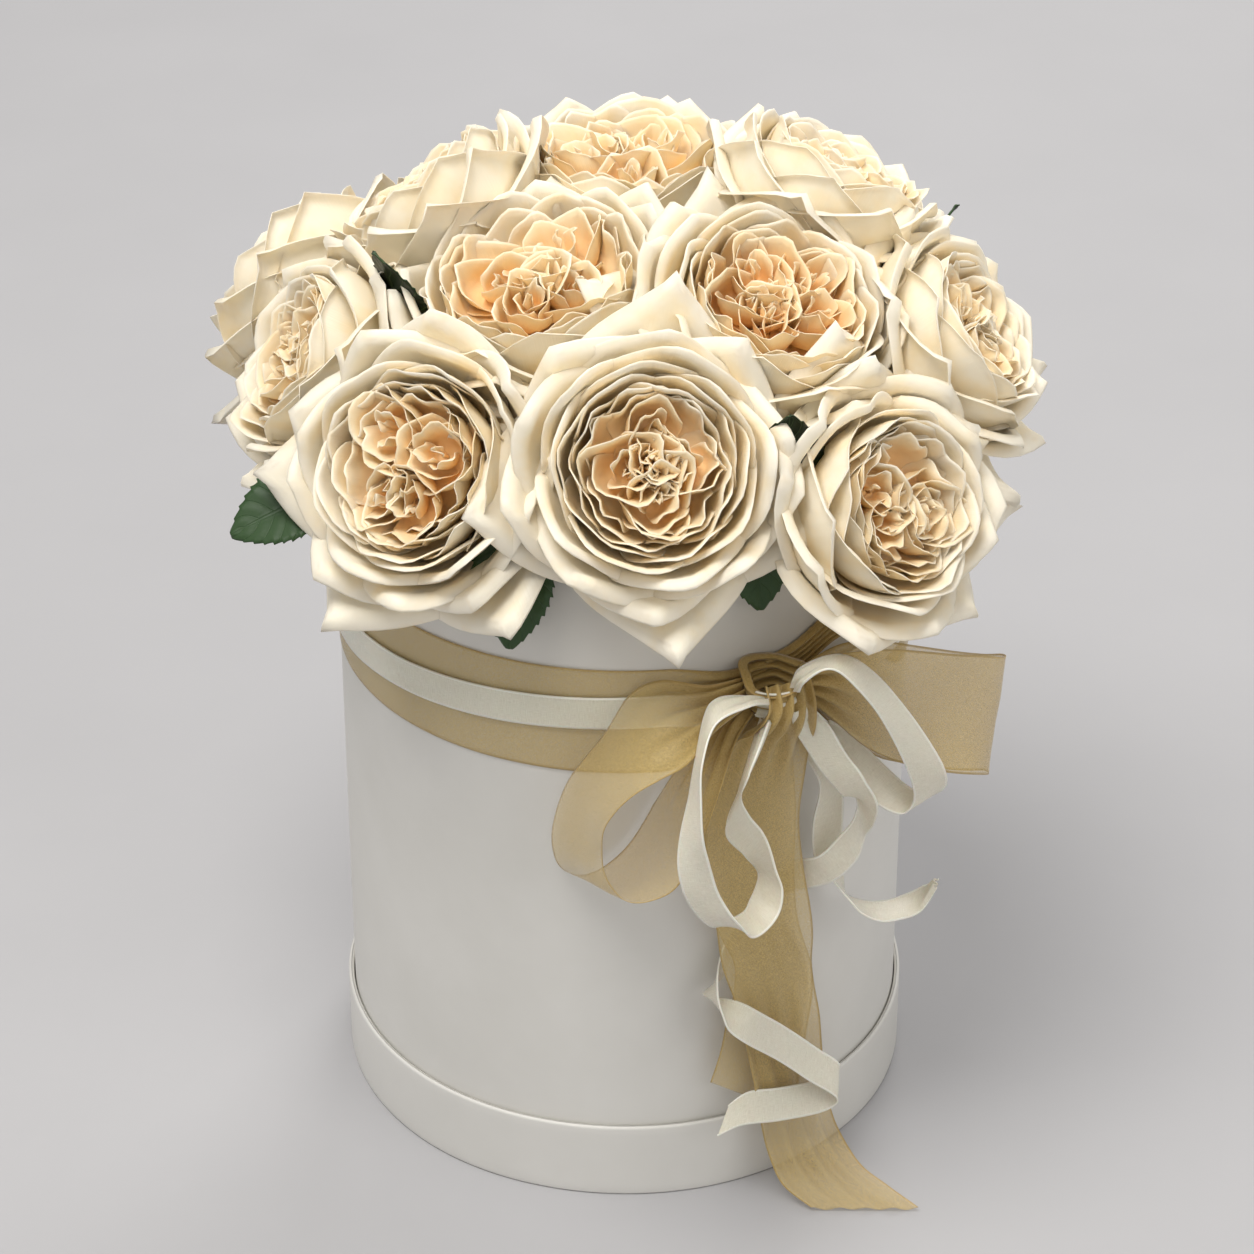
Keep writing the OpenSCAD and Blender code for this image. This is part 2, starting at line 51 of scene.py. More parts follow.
TABLE_FADE = (1.3, 2.6)
ROOM_COLOR = (0.88, 0.87, 0.86, 1)
ROOM_STRENGTH = 0.54
CAMERA_PLACE = (0.0045, -1.2076, 0.9117)
CAMERA_DOWN = np.radians(31.44)
CAMERA_TURN = 0.003
CAMERA_LENS = 114.8
SENSOR_WIDTH = 36
AIM = np.array([0.0, 0.0, 0.17])

scene = bpy.context.scene
scene.view_settings.view_transform = "Standard"


def mesh_object(name, points, faces):
    """A plain mesh in the scene, from points in metres and faces of their numbers."""
    mesh = bpy.data.meshes.new(name)
    mesh.from_pydata([tuple(p) for p in points], [], faces)
    mesh.update()
    piece = bpy.data.objects.new(name, mesh)
    scene.collection.objects.link(piece)
    return piece


def feed(tree, socket, value):
    """Links another node's output to a socket, or sets the socket to a plain value."""
    if isinstance(value, bpy.types.NodeSocket):
        tree.links.new(value, socket)
    else:
        socket.default_value = value


def node_adder(tree, family=""):
    """A function that adds one node to a tree, with its options and its inputs."""

    def add(kind, inputs=None, **settings):
        node = tree.nodes.new(family + kind)
        for key, value in settings.items():
            setattr(node, key, value)
        for key, value in (inputs or {}).items():
            feed(tree, node.inputs[key], value)
        return node

    return add


def new_finish(name):
    """An empty node material, a function that adds a node to it, and one that sets its shader."""
    finish = bpy.data.materials.new(name)
    finish.use_nodes = True
    tree = finish.node_tree

    def wear(**sockets):
        for key, value in sockets.items():
            feed(tree, tree.nodes["Principled BSDF"].inputs[key.replace("_", " ")], value)

    return finish, node_adder(tree, "ShaderNode"), wear


def noise(add, place, scale, detail, **more):
    """Noise of one grain over a surface, between 0 and 1; any other input is given by its name."""
    return add("TexNoise", {"Vector": place, "Scale": scale, "Detail": detail, **more}).outputs["Fac"]


def reckon(add, operation, *values):
    """The result of one sum on numbers and sockets."""
    return add("Math", dict(enumerate(values)), operation=operation).outputs[0]


def ranged(add, value, low=0.0, high=1.0, to_low=0.0, to_high=1.0):
    """A value taken from one range to another, and held inside it."""
    ends = {"From Min": low, "From Max": high, "To Min": to_low, "To Max": to_high}
    return add("MapRange", {"Value": value, **ends}).outputs["Result"]


def blend(add, factor, first, second):
    """A colour between two colours."""
    return add("Mix", {"Factor": factor, "A": first, "B": second}, data_type="RGBA").outputs["Result"]


half = TABLE_SIZE / 2
table_top = mesh_object("table_top", [(-half, -half, 0), (half, -half, 0), (half, half, 0), (-half, half, 0)],
                        [(0, 1, 2, 3)])
table_paint, add, wear = new_finish("table_paint")
place = add("TexCoord").outputs["Object"]
shade = blend(add, noise(add, place, 9.0, 3.0), TABLE_COLOR, (*(TABLE_SHADE * c for c in TABLE_COLOR[:3]), 1))
# Far off, the top fades into the room for every ray that can see it, so that no horizon shows
fade = ranged(add, add("VectorMath", {0: place}, operation="LENGTH").outputs["Value"], *TABLE_FADE)
ray = add("LightPath").outputs
mirrored = reckon(add, "MAXIMUM", ray["Is Glossy Ray"], ray["Is Transmission Ray"])
far = reckon(add, "MULTIPLY", fade, reckon(add, "MAXIMUM", ray["Is Camera Ray"], mirrored))
wear(Base_Color=blend(add, far, shade, (0, 0, 0, 1)), Roughness=0.85, Specular_IOR_Level=0.1,
     Emission_Color=ROOM_COLOR, Emission_Strength=reckon(add, "MULTIPLY", far, ROOM_STRENGTH))
table_top.data.materials.append(table_paint)

room = bpy.data.worlds.new("room")
room.use_nodes = True
room.node_tree.nodes["Background"].inputs["Color"].default_value = ROOM_COLOR
room.node_tree.nodes["Background"].inputs["Strength"].default_value = ROOM_STRENGTH
scene.world = room


def soft_lamp(name, place, size, power, color):
    """A round lamp of a given size in metres and power in watts that looks at the middle of the box."""
    light = bpy.data.lights.new(name, "AREA")
    light.shape = "DISK"
    light.size, light.energy, light.color = size, power, color
    lamp = bpy.data.objects.new(name, light)
    scene.collection.objects.link(lamp)
    aim = np.array(place) - AIM
    lamp.location = place
    lamp.rotation_euler = (np.arctan2(np.hypot(aim[0], aim[1]), aim[2]), 0, np.arctan2(aim[0], -aim[1]))
    return lamp


soft_lamp("key_lamp", (-0.5, -0.7, 2.4), size=1.4, power=45, color=(1.0, 0.985, 0.955))
soft_lamp("fill_lamp", (1.4, -1.2, 1.1), size=1.3, power=6, color=(1.0, 0.99, 0.97))
soft_lamp("back_lamp", (0.5, 1.6, 1.6), size=1.0, power=18, color=(1.0, 0.99, 0.97))

lens = bpy.data.cameras.new("camera")
lens.lens = CAMERA_LENS
lens.sensor_width = SENSOR_WIDTH
camera = bpy.data.objects.new("camera", lens)
camera.location = CAMERA_PLACE
camera.rotation_euler = (np.pi / 2 - CAMERA_DOWN, 0, CAMERA_TURN)
scene.collection.objects.link(camera)
scene.camera = camera

# ---- Lid under the box, and the box ----
# Rigid board wrapped in uncoated white paper: each wall is a rolled tube whose paper is turned over its
# edge. The lid stands upturned under the box as its tray.
PAPER = (0.74, 0.725, 0.685, 1)
PAPER_DEEP = (0.68, 0.665, 0.62, 1)
WALL_TURNS = 192
WALL_LEVELS = 8
EDGE_ROUND = 0.0007
LID_EDGE_ROUND = 3 * EDGE_ROUND / 2
EDGE_STEPS = 5


def turned_wall(name, low, high, inner, outer, edge_round):
    """A closed ring of board with rounded edges, about a tenth of a millimetre out of round."""
    corners = [(inner, low, 180), (outer, low, 270), (outer, high, 0), (inner, high, 90)]
    outline = []
    for r, z, start in corners:
        centre_r = r + (edge_round if r == inner else -edge_round)
        centre_z = z + (edge_round if z == low else -edge_round)
        for a in np.radians(np.linspace(start, start + 90, EDGE_STEPS)):
            outline.append((centre_r + edge_round * np.cos(a), centre_z + edge_round * np.sin(a)))
    levels = np.linspace(low + edge_round, high - edge_round, WALL_LEVELS + 2)[1:-1]
    foot, brim = outline[:2 * EDGE_STEPS], outline[2 * EDGE_STEPS:]
    outline = np.array(foot + [(outer, z) for z in levels] + brim + [(inner, z) for z in levels[::-1]])
    n = len(outline)
    turns = np.arange(WALL_TURNS) * 2 * np.pi / WALL_TURNS
    wobble = 0.00012 * np.sin(3 * turns + 0.7) + 0.00008 * np.sin(7 * turns)
    points = []
    for a, w in zip(turns, wobble):
        r = outline[:, 0] + w
        points.append(np.stack([r * np.sin(a), -r * np.cos(a), outline[:, 1]], 1))
    points = np.concatenate(points)
    faces = [(k * n + i, ((k + 1) % WALL_TURNS) * n + i, ((k + 1) % WALL_TURNS) * n + (i + 1) % n,
              k * n + (i + 1) % n) for k in range(WALL_TURNS) for i in range(n)]
    piece = mesh_object(name, points, faces)
    piece.data.shade_smooth()
    return piece


def emboss(add, height, strength, distance):
    """The surface's normal, tilted by a fine relief."""
    return add("Bump", {"Height": height, "Strength": strength, "Distance": distance}).outputs["Normal"]


def paper_finish(name, roughness):
    """Matt white paper, faintly clouded, with its fibres just raised."""
    finish, add, wear = new_finish(name)
    place = add("TexCoord").outputs["Object"]
    cloud = noise(add, place, 14.0, 4.0, Roughness=0.6)
    fibre = noise(add, place, 900.0, 5.0, Roughness=0.7)
    wear(Base_Color=blend(add, ranged(add, cloud, 0.35, 0.75), PAPER, PAPER_DEEP),
         Roughness=ranged(add, fibre, to_low=roughness - 0.08, to_high=roughness + 0.1),
         Normal=emboss(add, fibre, 0.12, 0.0002))
    return finish


def repaint(node, finish):
    """A finish of its own for a piece that keeps its CAD mesh."""
    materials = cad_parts[node].data.materials
    materials.clear()
    materials.append(finish)


box_paper = paper_finish("box_paper", 0.55)
lid_paper = paper_finish("lid_paper", 0.5)
lid_low, lid_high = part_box("lid_rim")
wall_low, wall_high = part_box("box_wall")
panel_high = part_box("lid_panel")[1]
box_r = wall_high.x
base_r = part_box("box_base")[1].x

lid_wall = turned_wall("lid_wall", lid_low.z, lid_high.z, panel_high.x, lid_high.x, LID_EDGE_ROUND)
lid_wall.data.materials.append(lid_paper)
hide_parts("lid_rim")
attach(lid_wall, "tray")

tube = turned_wall("box_tube", wall_low.z, wall_high.z, base_r, box_r, EDGE_ROUND)
tube.data.materials.append(box_paper)
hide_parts("box_wall")
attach(tube, "box")

repaint("lid_panel", lid_paper)
repaint("box_base", box_paper)

# ---- Liner and foam ----
# A cup of clear film keeps the water off the board. The foam in it is a soaked, open-celled green block,
# cut level and chamfered at its edge, and drilled by every stem.
FILM_TINT = (0.86, 0.92, 0.88, 1)
FOAM_WET = (0.030, 0.095, 0.045, 1)
FOAM_DRIER = (0.065, 0.17, 0.08, 1)

film, add, wear = new_finish("clear_film")
creases = noise(add, add("TexCoord").outputs["Object"], 60.0, 4.0, Distortion=1.5)
wear(Base_Color=FILM_TINT, Roughness=0.12, Alpha=0.35, Normal=emboss(add, creases, 0.35, 0.001))
repaint("film_liner", film)

foam, add, wear = new_finish("wet_foam")
place = add("TexCoord").outputs["Object"]
cells = add("TexVoronoi", {"Vector": place, "Scale": 900.0}).outputs["Distance"]
wear(Base_Color=blend(add, noise(add, place, 30.0, 3.0), FOAM_WET, FOAM_DRIER), Roughness=0.75,
     Normal=emboss(add, cells, 0.7, 0.0006))
repaint("foam_block", foam)

# ---- Roses ----
# Fourteen cut garden roses stand in the foam. Each bloom is one spiral of thin petals on a hip: cream
# guard and outer petals whose margins roll back to a point, an upright cup, and small peach petals folded
# into quarters round a sunken heart.

# Rows, in millimetres and degrees: name, direction of the hip from the front towards +X, its distance in
# from the wall, its height above the rim, lean, direction of the lean, width, turn about its axis,
# directions of the guard petals, and depth of colour, which also deepens the painted shade at the petals' feet
ROSES = [
    ("front", 5, 17, 30, 58, 5, 80, 0, (-78, 5, 72, 170), 0.95),
    ("front_left", -40, 15, 20, 60, -29, 82, 40, (-75, -20, 45), 1.0),
    ("front_right", 43, 0, 11, 64, 44, 78, 100, (70, 175), 0.9),
    ("left", -81, 18, 22, 60, -78, 78, 160, (-40, 40), 0.85),
    ("right", 78, 8, 33, 54, 78, 75, 220, (-35, 40), 0.9),
    ("centre_left", -42, 67, 43, 16, -37, 94, 280, (-130, -60, 10, 80, 150), 1.0),
    ("centre_right", 48, 44, 45, 27, 37, 86, 330, (-125, -50, 20, 100, 165), 1.25),
    ("top", 178, 50, 46, 1, 182, 92, 20, (-100, 90, 170), 0.9),
    ("top_right", 107, 40, 58, 28, 111, 76, 80, (), 0.8),
    ("top_left", -116, 43, 48, 41, -114, 84, 130, (), 0.85),
    ("back_right", 118, 9, 16, 66, 113, 78, 190, (-35, 35), 0.9),
    ("rear_right", 158, 16, 23, 62, 158, 78, 250, (-40, 30), 0.9),
    ("rear_left", -154, 18, 23, 61, 206, 78, 300, (-30, 40), 0.95),
    ("back_left", -116, -3, 16, 67, 232, 75, 350, (-35, 35), 0.9),
]
MM = 0.001
BOX_RADIUS = 100
RIM_Z = 252
CREAM = (0.985, 0.895, 0.72, 1)
IVORY_SHADE = (0.98, 0.80, 0.52, 1)
PEACH = (0.98, 0.68, 0.36, 1)
APRICOT = (0.94, 0.58, 0.26, 1)
PETAL_MARGIN = 0.10  # half of the thickness at a petal's edge
PETAL_BODY = 0.12  # what is added to it towards the middle
STEM_DARK = (0.05, 0.13, 0.035, 1)
STEM_LIGHT = (0.15, 0.24, 0.07, 1)


def ease(x, low, high):
    """A smooth step from 0 at low to 1 at high."""
    t = np.clip((x - low) / (high - low), 0, 1)
    return t * t * (3 - 2 * t)


def unit(v):
    """Vectors at a length of one."""
    return v / np.maximum(np.linalg.norm(v, axis=-1, keepdims=True), 1e-12)


def grid_shell(outer, inner):
    """Points and faces of a closed sheet between two grids of points, outer's faces outward."""
    rows, columns = outer.shape[:2]
    n = rows * columns
    ids = np.arange(n).reshape(rows, columns)
    quads = np.stack([ids[:-1, :-1], ids[:-1, 1:], ids[1:, 1:], ids[1:, :-1]], -1).reshape(-1, 4)
    rim = np.concatenate([ids[0, :-1], ids[:-1, -1], ids[-1, :0:-1], ids[:0:-1, 0]])
    after = np.roll(rim, -1)
    walls = np.stack([after, rim, rim + n, after + n], -1)
    points = np.concatenate([outer.reshape(-1, 3), inner.reshape(-1, 3)])
    return points, np.concatenate([quads, quads[:, ::-1] + n, walls])


def bowl(root, foot, belly, rim, top):
    """A petal's line from its root to its rim, as distances along it and its radius and height there."""
    t = np.linspace(0, 1, 80)[:, None]
    corners = np.array([(root, foot), (belly * 1.02, foot), (belly * 1.10, 0.55 * top), (rim, top)])
    line = ((1 - t) ** 3 * corners[0] + 3 * t * (1 - t) ** 2 * corners[1]
            + 3 * t ** 2 * (1 - t) * corners[2] + t ** 3 * corners[3])
    along = np.concatenate([[0], np.cumsum(np.linalg.norm(np.diff(line, axis=0), axis=1))])
    return along, line


def on_bowl(line, psi, x, y):
    """Flat places x across and y along a petal, laid on a bowl that is turned by psi."""
    r = np.interp(y, line[0], line[1][:, 0])
    a = psi + x / np.maximum(r, 4)
    return np.stack([r * np.cos(a), r * np.sin(a), np.interp(y, line[0], line[1][:, 1])], -1)


def petal(line, psi, half_width, tip, roll, reach, ruffle, rng, columns=19, rows=17, foot_width=0.3):
    """One petal: its flat shape laid on a bowl, then its margin rolled outward on a radius.

    Returns the grid, its normals, the places across and along the petal, and the distance to its edge."""
    u = np.sin(np.linspace(-1, 1, columns) * np.pi / 2)[None, :]
    v = 1 - (1 - np.linspace(0, 1, rows)[:, None]) ** 1.5
    length = line[0][-1]
    across = u * np.sqrt(1 - v ** 2 / 3.5)
    along = v * np.sqrt(1 - u ** 2 / 3.0)
    along = along * (1 + tip * np.clip(1 - np.abs(across), 0, 1) ** 2) / (1 + tip)
    along = along * (1 + rng.uniform(-0.05, 0.05) * u + 0.012 * np.sin(6 * u + rng.uniform(0, 6)) * v)
    x = across * half_width * (foot_width + (1 - foot_width) * ease(along, -0.12, 0.6))
    y = along * length
    edge = np.concatenate([np.stack([x[3:, 0], y[3:, 0]], -1), np.stack([x[-1, 1:-1], y[-1, 1:-1]], -1),
                           np.stack([x[:2:-1, -1], y[:2:-1, -1]], -1)])
    steps = np.concatenate([[0], np.cumsum(np.linalg.norm(np.diff(edge, axis=0), axis=1))])
    even = np.linspace(0, steps[-1], 90)
    edge = np.stack([np.interp(even, steps, edge[:, 0]), np.interp(even, steps, edge[:, 1])], -1)
    run = unit(np.gradient(edge, axis=0))
    outward = np.stack([-run[:, 1], run[:, 0]], -1)
    flat = np.stack([x, y], -1)
    way = edge - flat[:, :, None]
    weight = ((way ** 2).sum(-1) + 0.3) ** -2.5
    total = weight.sum(2)
    near = np.clip((weight * (way * outward).sum(-1)).sum(2) / total, 0, None)
    pull = (weight[..., None] * outward).sum(2) / total[..., None]
    agree = np.linalg.norm(pull, axis=-1)
    to_edge = pull / agree[..., None]
    reach = reach * ease(y, 0.25 * length, 0.65 * length) * agree ** 3 + 1e-6
    over = np.clip(reach - near, 0, None)
    px, py = x - to_edge[..., 0] * over, y - to_edge[..., 1] * over
    tiny = 0.1
    base = on_bowl(line, psi, px, py)
    right = unit(on_bowl(line, psi, px + tiny, py) - on_bowl(line, psi, px - tiny, py))
    up = unit(on_bowl(line, psi, px, py + tiny) - on_bowl(line, psi, px, py - tiny))
    out = unit(np.cross(right, up))
    edge_way = unit(to_edge[..., :1] * right + to_edge[..., 1:] * up)
    angle = over / roll
    points = base + edge_way * (roll * np.sin(angle))[..., None] + out * (roll * (1 - np.cos(angle)))[..., None]
    side = x / half_width
    waves = 0.9 * np.sin(2.3 * side + rng.uniform(0, 6)) + 0.5 * np.sin(4.6 * side + 3 * v + rng.uniform(0, 6))
    frill = np.sin(8 * side + rng.uniform(0, 6)) * ease(v, 0.5, 1)
    points = points + out * (ruffle * (waves * v + 0.7 * frill))[..., None]
    return points, normals(points), side + 0 * v, v + 0 * side, near


def normals(points):
    """The unit normal of a grid of points at each of them."""
    return unit(np.cross(np.gradient(points, axis=1), np.gradient(points, axis=0)))


# Rings of petals from the outside in: how many, turn, foot, belly and rim against the bloom's own, top,
# half width, tip, roll, reach, ruffle, and depth of the heart's colour
RINGS = [
    (5, 0.00, 0.5, -5, 9, 34, 34, 0.22, 4.8, 8.0, 0.9, 0.00),
    (5, 0.62, 1.5, -4, 3, 39, 33, 0.18, 3.8, 6.5, 0.8, 0.02),
    (5, 0.25, 4.0, -7, -3, 41.5, 30, 0.14, 2.8, 4.6, 0.7, 0.08),
    (5, 0.90, 8.0, -10.5, -7.5, 42.0, 28, 0.08, 2.4, 2.8, 0.7, 0.16),
    (6, 0.40, 12.0, -13, -10.5, 41.5, 23, 0.05, 2.4, 2.0, 0.9, 0.24),
    (6, 0.85, 16.0, -15.5, -13, 40.5, 17, 0.05, 2.4, 1.8, 0.9, 0.34),
    (6, 0.30, 20.0, -18, -15, 39.5, 15, 0.04, 2.4, 1.8, 1.0, 0.42),
    (7, 0.75, 24.0, -20.5, -17.5, 38.8, 12, 0.04, 2.4, 1.8, 1.4, 0.48),
]
PETAL_ROOT = 5
QUARTER_PETALS = 8
CENTRE_PETALS = 6


def bloom(row, rng):
    """Every petal of one bloom, in its own frame: its grid, places, edge distance and depth of heart colour."""
    width, guards = row[6], row[8]
    belly = width / 2 - 1.5
    start = np.radians(row[7])
    petals = []
    for a in guards:
        line = bowl(PETAL_ROOT, 0.2, belly - 1, belly + 24, 27)
        petals.append((*petal(line, np.radians(a), half_width=35, tip=0.34, roll=5.5, reach=8.0, ruffle=0.6,
                              rng=rng), 0.0))
    for count, turn, foot, bell, rim, top, half_width, tip, roll, reach, ruffle, heart in RINGS:
        inner = heart > 0.2
        for k in range(count):
            psi = start + turn + 2 * np.pi * k / count + rng.uniform(-0.15, 0.15)
            off = rng.uniform(-1, 1) * (1.0 if inner else 0.5)
            line = bowl(PETAL_ROOT, foot, belly + bell + off, belly + rim + off, top + rng.uniform(-1.2, 1.2))
            petals.append((*petal(line, psi, half_width * rng.uniform(0.92, 1.08), tip,
                                  roll * rng.uniform(0.9, 1.15), reach * rng.uniform(0.85, 1.15), ruffle, rng,
                                  columns=15 if inner else 19, rows=11 if inner else 17), heart))
    quarters = 4 + (row[7] // 10) % 2
    heart_r = belly - 18.5
    for q in range(quarters):
        turn = start + 2 * np.pi * (q + 0.3 * rng.uniform(-1, 1)) / quarters
        c, s = np.cos(turn), np.sin(turn)
        place = rng.uniform(7.5, 10.5) * heart_r / 20
        size = rng.uniform(0.8, 1.1) * heart_r / 20
        tilt = rng.uniform(-0.25, 0.25, 2)
        for k in range(QUARTER_PETALS):
            r = (1.4 + 1.5 * k) * size
            line = bowl(1.0, 29 - 0.5 * k, r, r * 1.35, 38.5 + rng.uniform(-1.5, 1.5) + 0.3 * k)
            grid, _, side, up, near = petal(line, 2.6 * k + rng.uniform(-0.6, 0.6), r * rng.uniform(1.4, 2.1),
                                            tip=0.12, roll=2.0, reach=1.8, ruffle=1.3, rng=rng, columns=15,
                                            rows=9, foot_width=0.7)
            flat = grid * np.array([1, rng.uniform(0.6, 1.0), 1])
            flat[..., 0] += place + tilt[0] * (flat[..., 2] - 20)
            flat[..., 1] += tilt[1] * (flat[..., 2] - 20)
            x, y, z = flat[..., 0], flat[..., 1], flat[..., 2]
            grid = np.stack([c * x - s * y, s * x + c * y, z], -1)
            petals.append((grid, normals(grid), side, up, near, 0.62))
    for k in range(CENTRE_PETALS):
        line = bowl(0.5, 25, 1.4 + 0.7 * k, 1.8 + 0.8 * k, 36.5 + rng.uniform(-1, 1))
        petals.append((*petal(line, 2.4 * k, half_width=3.8, tip=0.1, roll=1.5, reach=1.5, ruffle=0.5, rng=rng,
                              columns=9, rows=7, foot_width=0.7), 0.8))
    return petals


def stand(points, row):
    """A bloom's own millimetres to its place in the box, in metres."""
    lean, facing, az = np.radians(row[4]), np.radians(row[5] - 90), np.radians(row[1])
    x = np.cos(lean) * points[..., 0] + np.sin(lean) * points[..., 2]
    z = -np.sin(lean) * points[..., 0] + np.cos(lean) * points[..., 2]
    y = points[..., 1]
    r = BOX_RADIUS - row[2]
    return MM * np.stack([np.cos(facing) * x - np.sin(facing) * y + r * np.sin(az),
                          np.sin(facing) * x + np.cos(facing) * y - r * np.cos(az), z + RIM_Z + row[3]], -1)


def cloth_object(name, points, faces, uv, values=None):
    """A smooth mesh with one UV pair, and any named values, at each point."""
    mesh = bpy.data.meshes.new(name)
    mesh.from_pydata(points, [], faces)
    layer = mesh.uv_layers.new(name="cloth")
    corner = np.empty(len(mesh.loops), dtype=np.int32)
    mesh.loops.foreach_get("vertex_index", corner)
    layer.data.foreach_set("uv", np.asarray(uv, dtype=np.float32)[corner].ravel())
    for key, value in (values or {}).items():
        mesh.attributes.new(key, "FLOAT", "POINT").data.foreach_set("value", np.asarray(value, dtype=np.float32))
    mesh.shade_smooth()
    mesh.update()
    piece = bpy.data.objects.new(name, mesh)
    scene.collection.objects.link(piece)
    return piece


def rose_mesh(row, rng):
    """One bloom as one mesh of closed petals, with a value at each point for its peach and its painted warm
    shade.
    """
    depth = row[9]
    all_points, all_faces, all_uv, all_peach_and_painted_shade = [], [], [], []
    count = 0
    for grid, normal, side, up, near, heart in bloom(row, rng):
        half = (PETAL_MARGIN + PETAL_BODY * ease(near, 0, 6))[..., None]
        pts, faces = grid_shell(grid + normal * half, grid - normal * half)
        all_points.append(stand(pts, row))
        all_faces.append(faces + count)
        count += len(pts)
        uv = np.stack([side * 0.5 + 0.5, up], -1).reshape(-1, 2)
        all_uv.append(np.concatenate([uv, uv]))
        # Peach towards the heart and at each petal's foot, paler at the tips and margins; the foot's deeper
        # peach is partly the petal's own colour and partly painted warm shade deep between the petals
        peach_and_painted_shade = depth * (heart * (1 - 0.35 * ease(up, 0.55, 1.0)) + 0.42 * (1 - ease(up, 0.15, 0.85)))
        peach_and_painted_shade = np.clip(peach_and_painted_shade - 0.15 * (1 - ease(near, 0, 1.0)), 0, 1.3).ravel()
        all_peach_and_painted_shade.append(np.concatenate([peach_and_painted_shade, peach_and_painted_shade]))
    return cloth_object(f"rose_{row[0]}", np.concatenate(all_points), np.concatenate(all_faces),
                        np.concatenate(all_uv), {"peach_and_painted_shade": np.concatenate(all_peach_and_painted_shade)})


def streaks(add, across, along, detail, **more):
    """Noise drawn out over a piece's own UV map, as veins and threads are."""
    flat = add("UVMap", uv_map="cloth").outputs["UV"]
    drawn = add("Mapping", {"Vector": flat, "Scale": (across, along, 1.0)}).outputs["Vector"]
    return noise(add, drawn, 1.0, detail, **more)


petal_finish, add, wear = new_finish("petal_silk")
# The ramp runs from cream to apricot with the peach and the painted warm shade that each point carries
peach_and_painted_shade = add("Attribute", attribute_name="peach_and_painted_shade").outputs["Fac"]
mottle = noise(add, add("TexCoord").outputs["Object"], 70.0, 3.0)
ramp = add("ValToRGB", {"Fac": reckon(add, "ADD", peach_and_painted_shade, reckon(add, "SUBTRACT", mottle, 0.5))})
stops = ramp.color_ramp.elements
stops[0].position, stops[0].color = 0.0, CREAM
stops[1].position, stops[1].color = 1.0, APRICOT
stops.new(0.35).color = IVORY_SHADE
stops.new(0.75).color = PEACH
vein = streaks(add, 60.0, 2.0, 4.0, Distortion=0.4)
wear(Base_Color=ramp.outputs["Color"], Roughness=ranged(add, vein, to_low=0.42, to_high=0.62),
     Normal=emboss(add, vein, 0.25, 0.0004), Subsurface_Weight=0.3, Subsurface_Radius=(1.0, 0.92, 0.82),
     Subsurface_Scale=0.0015)

stem_finish, add, wear = new_finish("rose_stem")
patch = noise(add, add("TexCoord").outputs["Object"], 120.0, 5.0)
wear(Base_Color=blend(add, patch, STEM_DARK, STEM_LIGHT), Roughness=0.55,
     Normal=emboss(add, patch, 0.4, 0.0005))

for k, row in enumerate(ROSES):
    rose = rose_mesh(row, np.random.default_rng(500 + k))
    rose.data.materials.append(petal_finish)
    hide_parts(f"rose_{row[0]}_bloom")
    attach(rose, "insert")
    repaint(f"rose_{row[0]}_stem", stem_finish)

# ---- Leaves ----
# Rose leaflets on thin stalks that are pushed into the foam between the blooms: a serrated blade folded a
# little along its midrib, quilted between the side veins, dark and waxy above and pale below.

# Rows: name, foot of the blade (direction, distance in, height above the rim), seat in the foam
# (direction, distance in), direction the blade points to, its rise, roll, length and width
LEAVES = [
    ("high_left", -71, 26, 45, -60, 60, -54, 77, 8, 42, 26),
    ("high_front", 29, -5, 19, 45, 21, 22, 86, -16, 42, 26),
    ("low_left", -61, -9, 8, -47, 57, -72, -14, -30, 38, 26),
    ("high_right", 104, -4, 38, 123, 34, 94, 80, -18, 38, 24),
    ("low_front", -19, 1, 20, 9, 29, -21, -66, -2, 44, 27),
    ("low_front_right", 24, 0, 22, 6, 42, 23, -66, 4, 34, 22),
    ("low_right", 84, -3, 6, 86, 61, 89, -36, -19, 42, 26),
    ("low_rear", -175, -2, 7, -184, 43, 184, -49, -3, 42, 26),
    ("low_back_left", -134, -3, 8, -130, 55, -124, -44, -28, 42, 26),
]
FOAM_SEAT_Z = 210
LEAF_THICK = 0.35
LEAF_FOLD = np.radians(14)
LEAF_TEETH = 13
LEAF_TOOTH = 0.11
LEAF_TOOTH_LEAN = 0.6
LEAF_COLUMNS = 13
LEAF_DROOP = 5
LEAF_CURL = 1.2
LEAF_QUILT = 0.22
SIDE_VEINS = 7
VEIN_SLANT = 0.22
STALK_RADIUS = 0.9
STALK_TIP_RADIUS = 0.65
STALK_STEPS = 14
LEAF_DARK = (0.002, 0.008, 0.002, 1)
LEAF_GREEN = (0.008, 0.025, 0.005, 1)
LEAF_VEIN = (0.06, 0.11, 0.03, 1)
LEAF_UNDER = (0.035, 0.075, 0.026, 1)


def tube(line, radius, sides=10):
    """A closed round tube along a line of points, its radius a number or one for each point."""
    run = unit(np.gradient(line, axis=0))
    side = unit(np.cross(run, np.array([0.0, 0.31, 0.95])))
    other = np.cross(run, side)
    a = np.arange(sides) * 2 * np.pi / sides
    ring = np.cos(a)[:, None] * side[:, None] + np.sin(a)[:, None] * other[:, None]
    points = (line[:, None] + ring * np.broadcast_to(radius, len(line))[:, None, None]).reshape(-1, 3)
    ids = np.arange(len(points)).reshape(len(line), sides)
    after = np.roll(ids, -1, axis=1)
    faces = np.stack([ids[:-1], after[:-1], after[1:], ids[1:]], -1).reshape(-1, 4)
    n = len(points)
    points = np.concatenate([points, line[[0]], line[[-1]]])
    foot_cap = [(n, after[0, k], ids[0, k]) for k in range(sides)]
    tip_cap = [(n + 1, ids[-1, k], after[-1, k]) for k in range(sides)]
    return points, faces.tolist() + foot_cap + tip_cap


def polar(az, r, z):
    """The place at a direction from the front, a distance from the box's axis and a height."""
    return np.array([r * np.sin(np.radians(az)), -r * np.cos(np.radians(az)), z])


